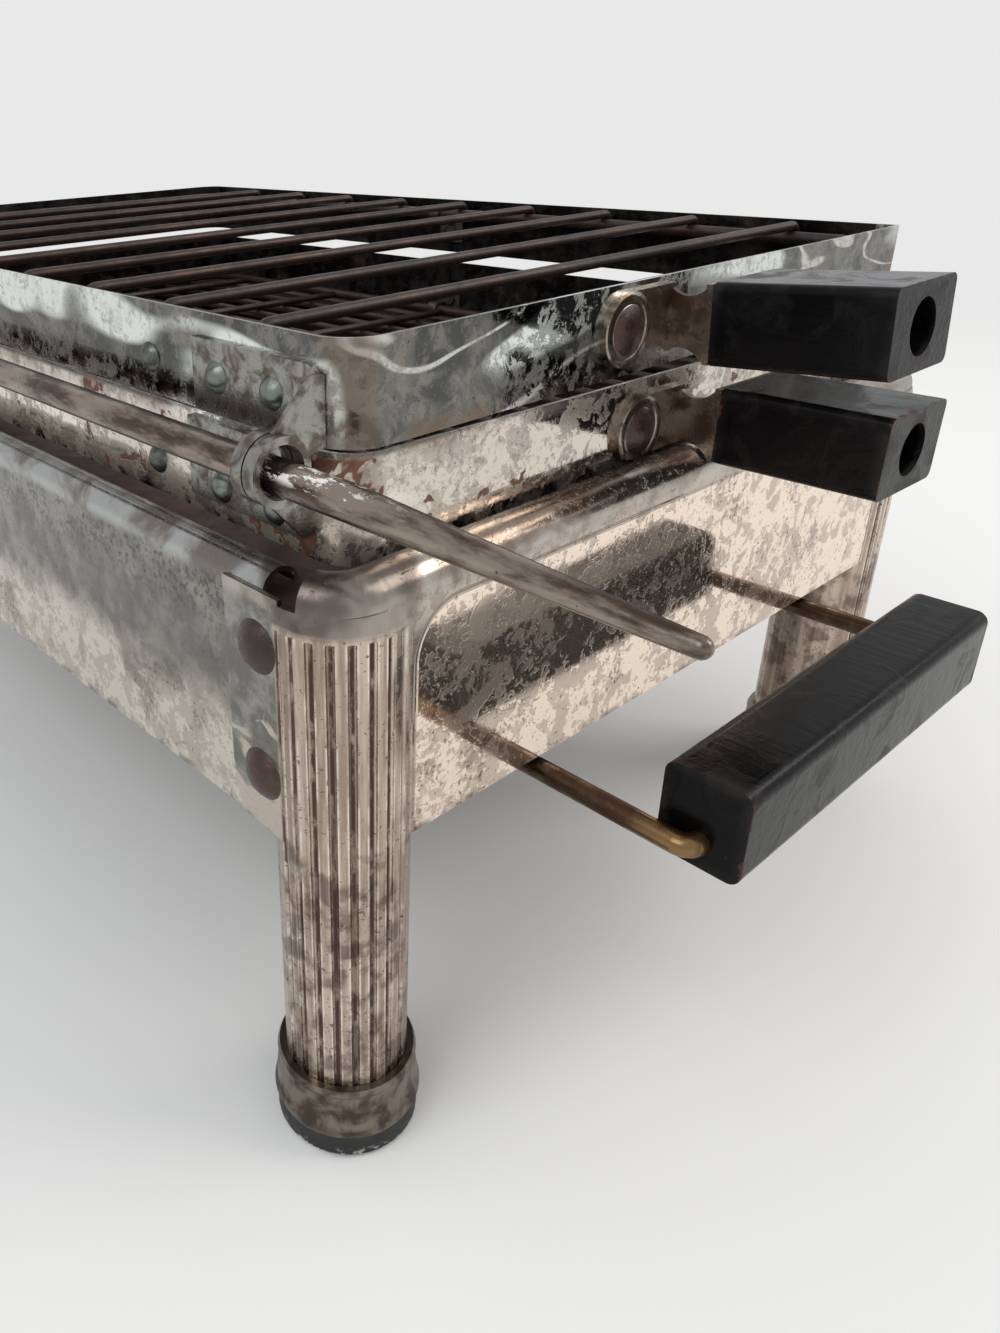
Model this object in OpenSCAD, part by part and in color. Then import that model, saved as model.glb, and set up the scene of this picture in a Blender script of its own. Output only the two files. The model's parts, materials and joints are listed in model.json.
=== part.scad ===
// Electric flip toaster: a chromed stove base on four fluted legs, a bread basket made of two
// hinged wire-grid frames that lies on it, and a drip tray that pulls out at the front.
// Millimetres. Every sub-part is written from the base's front left corner on the floor:
// +X runs to the right, +Y to the rear, +Z up. placed() then moves it to the part's own origin,
// the middle of the bottom of its overall box.

/* [Base] */
// Width of the base over its side flanges
base_w = 187; // [160:1:240]
// Depth of the base from front panel to rear panel
base_d = 281; // [240:1:340]
// Height of the lower edge of the four panels above the floor
panel_bottom = 65; // [60:1:80]
// Height of the four upright panel walls, up to where their top rolls begin
panel_h = 42; // [38:1:55]
// Thickness of the panels' sheet
sheet = 0.8; // [0.6:0.1:1.2]
// Outer radius of the roll along the top of the front and rear panels
end_roll_r = 4.6; // [3.6:0.1:5]
// Outer radius of the roll along the top of the side panels
side_roll_r = 3.5; // [2.4:0.1:4]
// Outer radius of the base's upright corners, seen from above
corner_r = 11; // [10:0.5:12]
// How far the riveted flanges of the end panels reach back along the sides
flange_d = 24.2; // [23.6:0.1:34]

/* [Legs and feet] */
// Outer radius of a leg
leg_r = 11; // [10:0.5:12]
// Distance from a leg's axis to the two panel faces beside it
leg_inset = 9.9; // [9:0.1:11]
// Wall of a leg
leg_wall = 1.6; // [1.4:0.1:2]
// Height of the flutes' upper ends
flute_top = 103; // [96:0.5:103]
// Flutes on each leg's outer side
flute_count = 8; // [4:1:10]
// Angle between neighbouring flutes, in degrees
flute_pitch = 16.4; // [14:0.1:17]
// Angle that the row of flutes is turned towards the end panel, in degrees
flute_turn = 3.5; // [0:0.5:5]
// Radius of the tool that pressed a flute
flute_r = 0.7; // [0.5:0.1:1]
// Height of the rubber foot below the metal ferrule
rubber_h = 5.5; // [4:0.5:9]
// Height of the metal ferrule
ferrule_h = 10.5; // [8:0.5:14]
// Radius of the ferrule's flared lower rim
ferrule_r = 13.5; // [13:0.1:15]

/* [Heat box] */
// How far the ledge that the basket rests on lies below the panels' top rolls
ledge_drop = 1.6; // [1.4:0.1:6]
// Width of the ledge
ledge_w = 15; // [12:1:20]
// Width of the heat box's lower flange at the front and at the rear
box_flange_w = 21; // [19:1:26]

/* [Basket frames] */
// Distance from the base's left face to the basket's left wall
frame_inset_x = 10.6; // [9.5:0.1:14]
// Distance from the base's front face to the basket's front wall
frame_inset_y = 8.4; // [8.4:0.1:12]
// Height of the upper frame's wall
upper_wall_h = 15.6; // [14:0.1:20]
// Height of the lower frame's wall
lower_wall_h = 17.2; // [15:0.1:18]
// Thickness of the frames' strip
frame_t = 0.9; // [0.7:0.1:1.2]
// Outer radius of the frames' bent corners
frame_corner_r = 7; // [5:0.5:10]
// Outer radius of the one corner where the strip's ends meet
frame_seam_r = 1.6; // [1.4:0.1:3]
// Gap between the two frames beside the hinge
frame_gap = 0.4; // [0.3:0.1:1]
// Angle that the lower frame hangs open, in degrees
sag = 0.9; // [0.2:0.1:0.9]

/* [Wire grids] */
// Radius of the rod that runs round each grid
rim_rod_r = 1.5; // [1.2:0.1:1.6]
// Radius of the grid wires
wire_r = 1.1; // [0.8:0.1:1.2]
// Distance between the upper grid's cross wires
upper_pitch = 26; // [20:1:34]
// Distance from the basket's front wall to the first cross wire
first_wire = 22.6; // [16:0.1:30]
// Distance between the lower grid's long wires
lower_pitch = 12; // [9:0.5:18]
// Distance between the lower grid's cross wires
lower_cross_pitch = 52; // [40:1:70]

/* [Hinge] */
// Distance of the hinge line from the base's left face
hinge_x = 1.5; // [0.5:0.1:2]
// Outer radius of the hinge eyes
eye_r = 5.1; // [4.8:0.1:5.6]
// Radius of the hole through the hinge eyes
eye_hole_r = 3.9; // [3.6:0.1:4.1]
// Length of one hinge eye along the hinge line
eye_w = 2.4; // [1.8:0.1:3.6]
// Radius of the hinge rod
rod_r = 2.6; // [2.2:0.1:2.9]
// Radius of the hinge rod at its tip
rod_tip_r = 1.2; // [0.8:0.1:1.8]
// How far the rod's tapered tang reaches out in front of the base
tang_reach = 51.5; // [35:0.5:65]
// Angle that the tang is bent down, in degrees
tang_drop = 1.6; // [0:0.1:3]
// Thickness of the hinge leaves
leaf_t = 0.9; // [0.7:0.1:1.2]
// Length of a hinge leaf along the frame
leaf_len = 31; // [27:1:40]
// Height of an upper hinge leaf on its frame
leaf_h = 11.6; // [10:0.1:13]
// Height of a lower hinge leaf on its frame
lower_leaf_h = 13.4; // [12.6:0.1:15]

/* [Basket handles] */
// Width of a wooden handle block
block_w = 21; // [18:0.5:26]
// Length of a wooden handle block
block_len = 29; // [24:0.5:45]
// Height of a wooden handle block
block_h = 14; // [12.4:0.1:15]
// Radius of the deep hole in a block's outer end
block_hole_r = 4.5; // [4.2:0.1:5]
// Depth of that hole
block_hole_depth = 20; // [12:0.5:20]
// Distance from the basket's left wall to the upper strap's bend
upper_bend = 74; // [50:0.5:90]
// Distance from the basket's left wall to the lower strap's bend
lower_bend = 81; // [50:0.5:110]
// How far a strap carries its block out from the wall
strap_reach = 9; // [9:0.5:14]
// Thickness of the straps
strap_t = 1.2; // [1:0.1:1.4]
// Height of the straps
strap_h = 12.6; // [11.8:0.1:13.4]
// Distance from a strap's rivet to its bend
strap_len = 12; // [10:0.5:18]
// Angle that the upper handle is bent up, in degrees
handle_lift = 4; // [0:0.5:6]

/* [Drip tray] */
// Width of the tray
tray_w = 140; // [120:1:140]
// Depth of the tray's wall
tray_h = 6.8; // [5.5:0.1:7]
// Distance from the base's front face to the tray's front wall
tray_inset = 10; // [8:0.5:20]
// Thickness of the tray's sheet
tray_t = 0.6; // [0.5:0.1:1]
// Radius of the handle wire
bail_r = 2; // [1.6:0.1:2]
// Distance between the handle wire's two arms
bail_w = 95.6; // [80:0.2:110]
// How far the handle wire lies to the right of the tray's middle
bail_shift = 2.7; // [0:0.1:6]
// Length of the handle wire inside the tray
bail_tail = 38; // [30:1:60]
// Distance from the base's front face to the middle of the wooden bar
bar_reach = 29.5; // [26:0.5:45]
// Depth of the wooden bar, front to back
bar_d = 15; // [13:0.5:20]
// Height of the wooden bar
bar_h = 17.5; // [14:0.5:22]
// Radius of the wooden bar's long edges
bar_edge_r = 2.4; // [1.5:0.1:4]

/* [Heater] */
// Height of the heating wire
coil_z = 86; // [84:0.5:90]
// Outer radius of the wound heating wire
coil_r = 3; // [2.5:0.1:3.4]
// Runs of heating wire along the base
coil_runs = 6; // [4:2:8]
// Distance between neighbouring runs
coil_pitch = 22; // [17:0.5:22]
// Distance from the base's front face to the first ceramic bar
coil_start = 40; // [30:1:60]
// Size of the ceramic bars, front to back
ceramic_d = 9; // [8:0.5:12]
// Height of the ceramic bars
ceramic_h = 16; // [15:0.5:18]
// Size of the heater's steel rails
rail_size = 8; // [7:0.5:10]

/* [Inlet] */
// Height of the inlet's middle
inlet_z = 86; // [84:1:88]
// Width of the inlet's metal shroud
shroud_w = 38; // [36:0.5:44]
// Height of the inlet's metal shroud
shroud_h = 20; // [19:0.5:24]
// How far the shroud stands out behind the rear panel
shroud_out = 15; // [12:0.5:20]
// Radius of a contact pin
pin_r = 2.4; // [2:0.1:3]
// Distance between the two contact pins
pin_pitch = 17.5; // [14:0.5:19]
// Length of a contact pin inside the shroud
pin_len = 13; // [10:0.5:14]

/* [Rivets and screws] */
// Radius of the domed rivets at the base's corners
base_rivet_r = 4.5; // [3.4:0.1:4.6]
// Radius of the hinge leaves' rivets
leaf_rivet_r = 2.6; // [2.1:0.1:2.8]
// Radius of the straps' large rivets
strap_rivet_r = 4.1; // [3.5:0.1:4.6]
// Radius of the handle screws' shanks
screw_r = 2; // [1.6:0.1:2.2]

/* [Hidden] */
$fn = 48;

// Air left between pieces that move against each other
play = 0.3;
// Overlap that makes two shapes of one piece a single solid
weld = 0.1;
// Reach of a cutting shape past what it cuts
over = 1;

// Base
panel_top = panel_bottom + panel_h;
end_roll_stop = 64;
corner_roll_gap = 18;
side_roll_stop = 8;
side_out = leg_r - leg_inset;
side_x = sheet - side_out;
corner_x = corner_r - side_out;
side_start = leg_inset + 2.2;
side_roll_start = corner_r + 4.4;

// Legs and feet
leg_foot = rubber_h + 0.5;
leg_inner_r = leg_r - leg_wall;
flute_centre_r = leg_r + flute_r * 0.15;
flute_foot = leg_foot + ferrule_h - 2;
shoulder_z = flute_top + 0.5;
shoulder_h = panel_top - play - shoulder_z;
shoulder_in = leg_r - corner_r + norm([corner_r - leg_r, corner_r - leg_inset]) - 0.25;

// Heat box
box_t = 0.8;
box_inset = 2 * sheet + 0.3;
box_bottom = panel_bottom + 1;
ledge_z = panel_top - ledge_drop;
box_corner_r = corner_r - 1.5;

// Basket frames
hinge_z = ledge_z + 20.6;
lower_top = hinge_z + 0.6;
lower_bottom = lower_top - lower_wall_h;
upper_bottom = lower_top + frame_gap;
upper_top = upper_bottom + upper_wall_h;
frame_w = base_w - 2 * frame_inset_x;
frame_d = base_d - 2 * frame_inset_y;
wall_left = frame_inset_x;
wall_right = base_w - frame_inset_x;
wall_front = frame_inset_y;
wall_rear = base_d - frame_inset_y;

// Grids: the rim rod lies inside the wall, and the wires are hooked round it from outside
wire_gap = 0.05;
lower_wire_drop = 1.2;
hook_r = rim_rod_r + wire_r + wire_gap;
rim_inset = frame_t + rim_rod_r + 2 * wire_r + 0.2;
upper_rim_z = upper_top - hook_r - wire_r;
lower_rim_z = lower_bottom + hook_r + wire_r - lower_wire_drop;
rim_left = wall_left + rim_inset;
rim_right = wall_right - rim_inset;
rim_front = wall_front + rim_inset;
rim_rear = wall_rear - rim_inset;
rim_corner_r = frame_corner_r;
hook_angle = 200;

// Hinge
leaf_x = wall_left - leaf_t;
upper_eye_y = wall_front + 3.4;
lower_eye_y = upper_eye_y + eye_w + play;
rod_z = hinge_z - (eye_hole_r - rod_r) / 2;
rod_rear = 5;

// Handles
upper_strap_z = upper_bottom + 8.1;
lower_strap_z = lower_bottom + 8.1;
plate_front = wall_front - strap_reach;
tang_start = -2;
nut_t = 3;
head_t = 2.6;

// Drip tray
tray_left = (base_w - tray_w) / 2;
tray_top = panel_bottom - 0.4;
tray_floor = tray_top - tray_h;
saddle_t = 0.8;
runner_t = 0.8;
runner_lip = 6;
runner_lip_z = tray_floor - play - runner_t;
tray_rear = base_d - 19;
bail_z = tray_top - saddle_t - bail_r;
bail_mid = base_w / 2 + bail_shift;
bail_bend_r = bail_r + 0.6;
bar_z = bail_z + 4;
bar_len = bail_w - 2 * bail_bend_r;

// Heater
coil_end = base_d - coil_start - 18;
rail_z = coil_z - ceramic_h / 2 - rail_size;
coil_left = base_w / 2 - (coil_runs - 1) * coil_pitch / 2;
coil_front = coil_start - 2 * coil_r;
coil_rear = coil_end + 2 * coil_r;

// Inlet
inlet_mid = base_w / 2;
inlet_depth = 20;

// Overall reach, front to rear
reach_mid = (base_d + shroud_out - tang_reach) / 2;

chrome_colour = "#b9b4ac";
rust_colour = "#5a3626";
wood_colour = "#161413";
steel_colour = "#6d655c";

module placed() {
    translate([-base_w / 2, -reach_mid, 0]) children();
}

// A rectangle with a radius of its own at each corner: front left, front right, rear right, rear left
module rounded_rect(w, d, r) {
    points = [[r[0], 0], [w - r[1], 0], [w, r[1]], [w, d - r[2]], [w - r[2], d], [r[3], d],
              [0, d - r[3]], [0, r[0]]];
    union() {
        polygon(points);
        translate([r[0], r[0]]) circle(r[0]);
        translate([w - r[1], r[1]]) circle(r[1]);
        translate([w - r[2], d - r[2]]) circle(r[2]);
        translate([r[3], d - r[3]]) circle(r[3]);
    }
}

// The same shape as a thin upright wall
module wall_ring(w, d, r, t) {
    difference() {
        rounded_rect(w, d, r);
        translate([t, t]) rounded_rect(w - 2 * t, d - 2 * t, [for (one = r) one - t]);
    }
}

// Cross-section of a rolled edge, from the outer face up and over to an angle above the level
module roll_section(r, t, stop) {
    difference() {
        circle(r);
        circle(r - t);
        translate([-2 * r, -2 * r]) square([4 * r, 2 * r]);
        rotate(stop - 90) square([2 * r, 2 * r]);
    }
}

// A wire from one point to another, square at both ends
module rod_between(a, b, r) {
    run = b - a;
    length = norm(run);
    tilt = acos(run[2] / length);
    turn = atan2(run[1], run[0]);
    translate(a) rotate([0, tilt, turn]) cylinder(r = r, h = length);
}

// A rivet along +X: domed head outside, shank through the sheets, flat tail inside
module rivet(head_r, head_h, shank_r, grip, tail_h) {
    dome_r = (head_r * head_r + head_h * head_h) / (2 * head_h);
    intersection() {
        translate([dome_r - head_h, 0, 0]) sphere(dome_r, $fn = 64);
        translate([-head_h - over, 0, 0]) rotate([0, 90, 0]) cylinder(r = head_r, h = head_h + over);
    }
    rotate([0, 90, 0]) cylinder(r = shank_r, h = grip + weld);
    translate([grip, 0, 0]) rotate([0, 90, 0]) cylinder(r = shank_r * 1.7, h = tail_h);
}

// A round hole along +X
module hole_x(r, h) {
    rotate([0, 90, 0]) cylinder(r = r, h = h);
}

// Turns the lower frame about the hinge line by the angle it sags
module sagging() {
    translate([hinge_x, 0, hinge_z]) rotate([0, sag, 0]) translate([-hinge_x, 0, -hinge_z]) children();
}

// Mirrors a left-hand piece to the right of the base
module on_right() {
    translate([base_w, 0, 0]) mirror([1, 0, 0]) children();
}

// Mirrors a front piece to the rear of the base
module on_rear() {
    translate([0, base_d, 0]) mirror([0, 1, 0]) children();
}

// Where a leg's round side crosses the outer face of a panel beside it
leg_cross = leg_inset + sqrt(leg_r * leg_r - leg_inset * leg_inset);
corner_rivet_y = leg_inset + leg_r - base_rivet_r;
corner_rivet_z = [panel_bottom + 10.8, panel_top - 8.5];
corner_rivet_shank = 2.2;

// Plan of the leg's column beside the panels: the outer side only
module column_plan() {
    difference() {
        translate([leg_inset, leg_inset]) circle(leg_r);
        translate([leg_inset, leg_inset]) circle(leg_inner_r);
        translate([side_x, leg_inset]) square([2 * leg_r, 2 * leg_r]);
        translate([leg_inset, sheet]) square([2 * leg_r, 2 * leg_r]);
    }
}

// Flutes end square at the top; where the side flange covers the leg they start below it
module leg_flutes() {
    for (i = [0 : flute_count - 1]) {
        angle = 225 + flute_turn + (i - (flute_count - 1) / 2) * flute_pitch;
        top = angle < 190 ? panel_bottom - 4 : flute_top;
        translate([leg_inset, leg_inset, flute_foot]) rotate(angle) translate([flute_centre_r, 0, 0])
            cylinder(r = flute_r, h = top - flute_foot, $fn = 24);
    }
}

// Room behind the panels and the flanges, which a corner's shapes stay out of
module behind_corner(z, h) {
    translate([side_x, leg_inset, z]) cube([2 * leg_r, 2 * leg_r, h]);
    translate([leg_inset, sheet, z]) cube([2 * leg_r, 2 * leg_r, h]);
}

// One front corner of an end panel: column, leg, smooth upper corner, roll and side flange
module panel_corner() {
    difference() {
        union() {
            translate([0, 0, leg_foot]) linear_extrude(shoulder_z - leg_foot) column_plan();
            translate([leg_inset, leg_inset, leg_foot]) difference() {
                cylinder(r = leg_r, h = panel_bottom - play - leg_foot);
                translate([0, 0, -over]) cylinder(r = leg_inner_r, h = panel_bottom + 2 * over);
            }
        }
        leg_flutes();
    }
    // shoulder that leads the column in to the smooth corner
    difference() {
        translate([leg_inset, leg_inset, shoulder_z])
            cylinder(r1 = leg_r, r2 = leg_r - shoulder_in, h = shoulder_h);
        translate([corner_x, corner_r, shoulder_z - over])
            cylinder(r = corner_r - sheet / 2, h = shoulder_h + 2 * over);
        behind_corner(shoulder_z - over, shoulder_h + 2 * over);
    }
    // smooth corner under the roll
    translate([0, 0, shoulder_z - sheet]) linear_extrude(panel_top - shoulder_z + sheet) difference() {
        translate([corner_x, corner_r]) circle(corner_r);
        translate([corner_x, corner_r]) circle(corner_r - sheet);
        translate([corner_x, -over]) square([2 * corner_r, 3 * corner_r]);
        translate([-side_out - over, corner_r]) square([3 * corner_r, 2 * corner_r]);
    }
    // the roll, which begins a little way round the corner
    translate([corner_x, corner_r, panel_top]) difference() {
        rotate([0, 0, 180]) rotate_extrude(angle = 90) intersection() {
            translate([corner_r - end_roll_r, 0]) mirror([1, 0])
                roll_section(end_roll_r, sheet, end_roll_stop);
            square([2 * corner_r, 2 * corner_r]);
        }
        rotate([0, 0, 180 + corner_roll_gap]) translate([0, -2 * corner_r, 0.05])
            cube([2 * corner_r, 2 * corner_r, 2 * end_roll_r]);
    }
    // side flange, level with the leg's side, its lower rear corner cut off
    difference() {
        translate([-side_out, 0, 0]) rotate([90, 0, 90]) linear_extrude(sheet) polygon([
            [corner_r, panel_bottom], [flange_d - 1.8, panel_bottom + 0.6],
            [flange_d - 0.7, panel_bottom + 4.5], [flange_d, panel_bottom + 10.5],
            [flange_d, panel_top + 0.9], [corner_r, panel_top + 0.9]
        ]);
        for (z = corner_rivet_z)
            translate([-side_out - over, corner_rivet_y, z]) hole_x(corner_rivet_shank, 4);
    }
}

// Upright sheet of an end panel between its corners, with the roll along its top
module end_panel() {
    inner = base_w - 2 * leg_inset;
    translate([leg_inset, 0, panel_bottom]) cube([inner, sheet, panel_h]);
    translate([corner_x, end_roll_r, panel_top]) rotate([90, 0, 90])
        linear_extrude(base_w - 2 * corner_x) roll_section(end_roll_r, sheet, end_roll_stop);
    panel_corner();
    on_right() panel_corner();
}

module front_panel() {
    color(chrome_colour) placed() end_panel();
}

module rear_panel() {
    color(chrome_colour) placed() difference() {
        on_rear() end_panel();
        translate([inlet_mid - shroud_w / 2 - play, base_d - 3, inlet_z - shroud_h / 2 - play])
            cube([shroud_w + 2 * play, 6, shroud_h + 2 * play]);
        for (s = [-1, 1]) translate([inlet_mid + s * (shroud_w / 2 + 6), base_d - 4, inlet_z])
            rotate([-90, 0, 0]) cylinder(r = screw_r, h = 8);
    }
}

// Side panel: upright sheet under the flanges, with the roll along its top
module side_panel() {
    difference() {
        union() {
            translate([side_x, side_start, panel_bottom]) cube([sheet, base_d - 2 * side_start, panel_h]);
            translate([side_x + side_roll_r, base_d - side_roll_start, panel_top]) rotate([90, 0, 0])
                linear_extrude(base_d - 2 * side_roll_start)
                    roll_section(side_roll_r, sheet, side_roll_stop);
        }
        for (z = corner_rivet_z, y = [corner_rivet_y, base_d - corner_rivet_y])
            translate([-side_out - over, y, z]) hole_x(corner_rivet_shank, 4);
    }
}

module left_side_panel() {
    color(chrome_colour) placed() side_panel();
}

module right_side_panel() {
    color(chrome_colour) placed() on_right() side_panel();
}

module corner_rivets() {
    grip = side_out + box_inset + box_t;
    color(rust_colour) placed()
        for (side = [0, 1], y = [corner_rivet_y, base_d - corner_rivet_y], z = corner_rivet_z)
            translate([side * base_w, 0, 0]) mirror([side, 0, 0]) translate([-side_out, y, z])
                rivet(base_rivet_r, 2, corner_rivet_shank - 0.1, grip, 1.2);
}

module for_each_leg() {
    for (x = [leg_inset, base_w - leg_inset], y = [leg_inset, base_d - leg_inset])
        translate([x, y, 0]) children();
}

// Flared metal ring that grips the leg's end over the rubber
module foot_ferrules() {
    rim = ferrule_r;
    top = leg_r + 1.3;
    color(steel_colour) placed() for_each_leg() rotate_extrude()
        polygon([
            [leg_r + 0.1, rubber_h], [rim - 0.3, rubber_h], [rim, rubber_h + 0.8],
            [rim - 0.5, rubber_h + 3], [top + 0.2, rubber_h + ferrule_h - 1.6],
            [top + 0.4, rubber_h + ferrule_h - 1], [top, rubber_h + ferrule_h],
            [leg_r + 0.1, rubber_h + ferrule_h]
        ]);
}

module rubber_feet() {
    color("#1b1a1a") placed() for_each_leg() {
        cylinder(r = ferrule_r - 1.4, h = 1.2);
        translate([0, 0, 1]) cylinder(r = ferrule_r - 0.5, h = rubber_h - 1.1);
        translate([0, 0, rubber_h - weld - 0.1]) cylinder(r = leg_inner_r - 0.1, h = ferrule_h - 1);
    }
}

// Rusty sheet box inside the base: it carries the heater, and the basket lies on its ledge
module heat_box() {
    w = base_w - 2 * box_inset;
    d = base_d - 2 * box_inset;
    radii = [for (i = [0 : 3]) box_corner_r];
    color(rust_colour) placed() difference() {
        translate([box_inset, box_inset, 0]) {
            translate([0, 0, box_bottom]) linear_extrude(ledge_z - box_bottom)
                wall_ring(w, d, radii, box_t);
            translate([0, 0, ledge_z - box_t]) linear_extrude(box_t) difference() {
                rounded_rect(w, d, radii);
                translate([ledge_w, ledge_w]) rounded_rect(w - 2 * ledge_w, d - 2 * ledge_w, [6, 6, 6, 6]);
            }
            translate([0, 0, box_bottom]) linear_extrude(box_t) difference() {
                rounded_rect(w, d, radii);
                translate([box_side_flange_w, box_flange_w])
                    rounded_rect(w - 2 * box_side_flange_w, d - 2 * box_flange_w, [4, 4, 4, 4]);
            }
        }
        for (side = [0, 1], z = corner_rivet_z, y = [corner_rivet_y, base_d - corner_rivet_y])
            translate([side * base_w, 0, 0]) mirror([side, 0, 0])
                translate([-over, y, z]) hole_x(corner_rivet_shank, 6);
        translate([inlet_mid - shroud_w / 2 - play, base_d - 8, inlet_z - shroud_h / 2 - play])
            cube([shroud_w + 2 * play, 8, shroud_h + 2 * play]);
        for (s = [-1, 1]) translate([inlet_mid + s * (shroud_w / 2 + 6), base_d - 8, inlet_z])
            rotate([-90, 0, 0]) cylinder(r = screw_r, h = 10);
        for (x = runner_rivet_x, y = runner_rivet_y)
            translate([x, y, box_bottom - over]) cylinder(r = 1.6, h = 4);
        for (side = [0, 1], y = rail_rivet_y) translate([side * base_w, 0, 0]) mirror([side, 0, 0])
            translate([-over, y, rail_z + rail_size / 2]) hole_x(1.6, 6);
    }
}

runner_web_x = tray_left - play - runner_t;
runner_start = leg_inset + leg_r + 1;
runner_flange_w = 8;
runner_rivet_inset = runner_web_x - runner_flange_w / 2;
runner_rivet_x = [runner_rivet_inset, base_w - runner_rivet_inset];
flange_past_web = 0.5;
box_side_flange_w = runner_web_x + flange_past_web - box_inset;
runner_rivet_y = [base_d * 0.25, base_d * 0.75];

// Folded runner under the heat box: flange above, web at the tray's side, lip below the tray
module tray_runner() {
    top = box_bottom;
    length = base_d - 2 * runner_start;
    difference() {
        translate([0, runner_start, 0]) {
            translate([runner_web_x - runner_flange_w, 0, top - runner_t])
                cube([runner_flange_w + runner_t, length, runner_t]);
            translate([runner_web_x, 0, runner_lip_z]) cube([runner_t, length, top - runner_lip_z]);
            translate([runner_web_x, 0, runner_lip_z]) cube([runner_lip, length, runner_t]);
        }
        for (y = runner_rivet_y) translate([runner_rivet_x[0], y, top - 3]) cylinder(r = 1.6, h = 6);
    }
}

module tray_runner_left() {
    color(steel_colour) placed() tray_runner();
}

module tray_runner_right() {
    color(steel_colour) placed() on_right() tray_runner();
}

module runner_rivets() {
    color(rust_colour) placed() for (x = runner_rivet_x, y = runner_rivet_y)
        translate([x, y, box_bottom - runner_t]) rotate([0, -90, 0])
            rivet(2.8, 1.2, 1.5, runner_t + box_t, 0.9);
}

rail_end = box_inset + box_t;
rail_rivet_y = [coil_start, coil_end];

// Two steel angle rails across the heat box, under the first and the last ceramic bar
module heater_rails() {
    color(steel_colour) placed() for (y = rail_rivet_y) difference() {
        translate([rail_end, y - rail_size / 2, rail_z]) union() {
            cube([base_w - 2 * rail_end, 1.2, rail_size]);
            translate([0, 0, rail_size - 1.2]) cube([base_w - 2 * rail_end, rail_size, 1.2]);
            for (x = [0, base_w - 2 * rail_end - 1.2])
                translate([x, 0, 0]) cube([1.2, rail_size, rail_size]);
        }
        for (side = [0, 1]) translate([side * base_w, 0, 0]) mirror([side, 0, 0])
            translate([0, y, rail_z + rail_size / 2]) hole_x(1.6, 6);
    }
}

module rail_rivets() {
    color(rust_colour) placed() for (side = [0, 1], y = rail_rivet_y)
        translate([side * base_w, 0, 0]) mirror([side, 0, 0])
            translate([box_inset, y, rail_z + rail_size / 2]) rivet(2.2, 0.25, 1.5, box_t + 1.2, 1);
}

ceramic_y = [coil_start, (coil_start + coil_end) / 2, coil_end];
ceramic_len = (coil_runs - 1) * coil_pitch + 16;

// Three white ceramic bars, drilled for every run of the heating wire
module ceramic_bars() {
    color("#d8d2c4") placed() for (y = ceramic_y) difference() {
        translate([base_w / 2 - ceramic_len / 2, y - ceramic_d / 2, coil_z - ceramic_h / 2])
            cube([ceramic_len, ceramic_d, ceramic_h]);
        for (i = [0 : coil_runs - 1]) translate([coil_left + i * coil_pitch, y - ceramic_d, coil_z])
            rotate([-90, 0, 0]) cylinder(r = coil_r + 0.25, h = 2 * ceramic_d);
    }
}

// The wound heating wire as the round space that its turns fill: runs and end loops
module heating_wire() {
    color("#7a6a5c") placed() {
        for (i = [0 : coil_runs - 1])
            rod_between([coil_left + i * coil_pitch, coil_front, coil_z],
                        [coil_left + i * coil_pitch, coil_rear, coil_z], coil_r);
        for (i = [0 : coil_runs - 2]) {
            rear = i % 2 == 0;
            translate([coil_left + (i + 0.5) * coil_pitch, rear ? coil_rear : coil_front, coil_z])
                rotate(rear ? 0 : 180) rotate_extrude(angle = 180)
                    translate([coil_pitch / 2, 0]) circle(coil_r);
        }
    }
}

post_x = [coil_left, coil_left + (coil_runs - 1) * coil_pitch];
post_y = coil_front - coil_r - 2.4;

// Brass screw posts that clamp the two ends of the heating wire
module terminal_posts() {
    color("#a07c3c") placed() for (x = post_x) translate([x, post_y, coil_z]) {
        translate([0, 0, -8]) cylinder(r = 1.6, h = 13);
        translate([0, 0, -7.6]) cylinder(r = 3.2, h = 1.6, $fn = 24);
        translate([0, 0, -5]) cylinder(r = 3.4, h = 2.2);
        translate([0, 0, 1.4]) cylinder(r = 3.4, h = 2.2);
        rotate([-90, 0, 0]) cylinder(r = 1.4, h = coil_front - post_y);
    }
}

strap_low_z = coil_z - 6;
strap_side_x = [post_x[0] - coil_pitch / 2 - 1, post_x[1] + coil_pitch / 2 + 1];

// Flat contact straps from the posts, back along both sides, to the inlet's pins
module contact_straps() {
    thick = 1;
    width = 5;
    rear = base_d - inlet_depth;
    color("#8c8378") placed() for (s = [0, 1]) {
        dir = s == 0 ? -1 : 1;
        px = inlet_mid + dir * pin_pitch / 2;
        sx = strap_side_x[s];
        difference() {
            union() {
                translate([min(post_x[s], sx) - 2, post_y - width / 2, strap_low_z])
                    cube([abs(sx - post_x[s]) + 4, width, thick]);
                translate([sx - thick / 2, post_y - width / 2, strap_low_z])
                    cube([thick, rear - post_y + width / 2, width]);
                translate([min(px, sx) - thick / 2, rear - thick, strap_low_z])
                    cube([abs(px - sx) + thick, thick, width]);
                translate([px - width / 2, rear - thick, strap_low_z])
                    cube([width, thick, inlet_z - strap_low_z + 4]);
            }
            translate([post_x[s], post_y, strap_low_z - over]) cylinder(r = 1.7, h = 4);
            translate([px, rear - 4, inlet_z]) rotate([-90, 0, 0]) cylinder(r = 1.7, h = 8);
        }
    }
}

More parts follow.
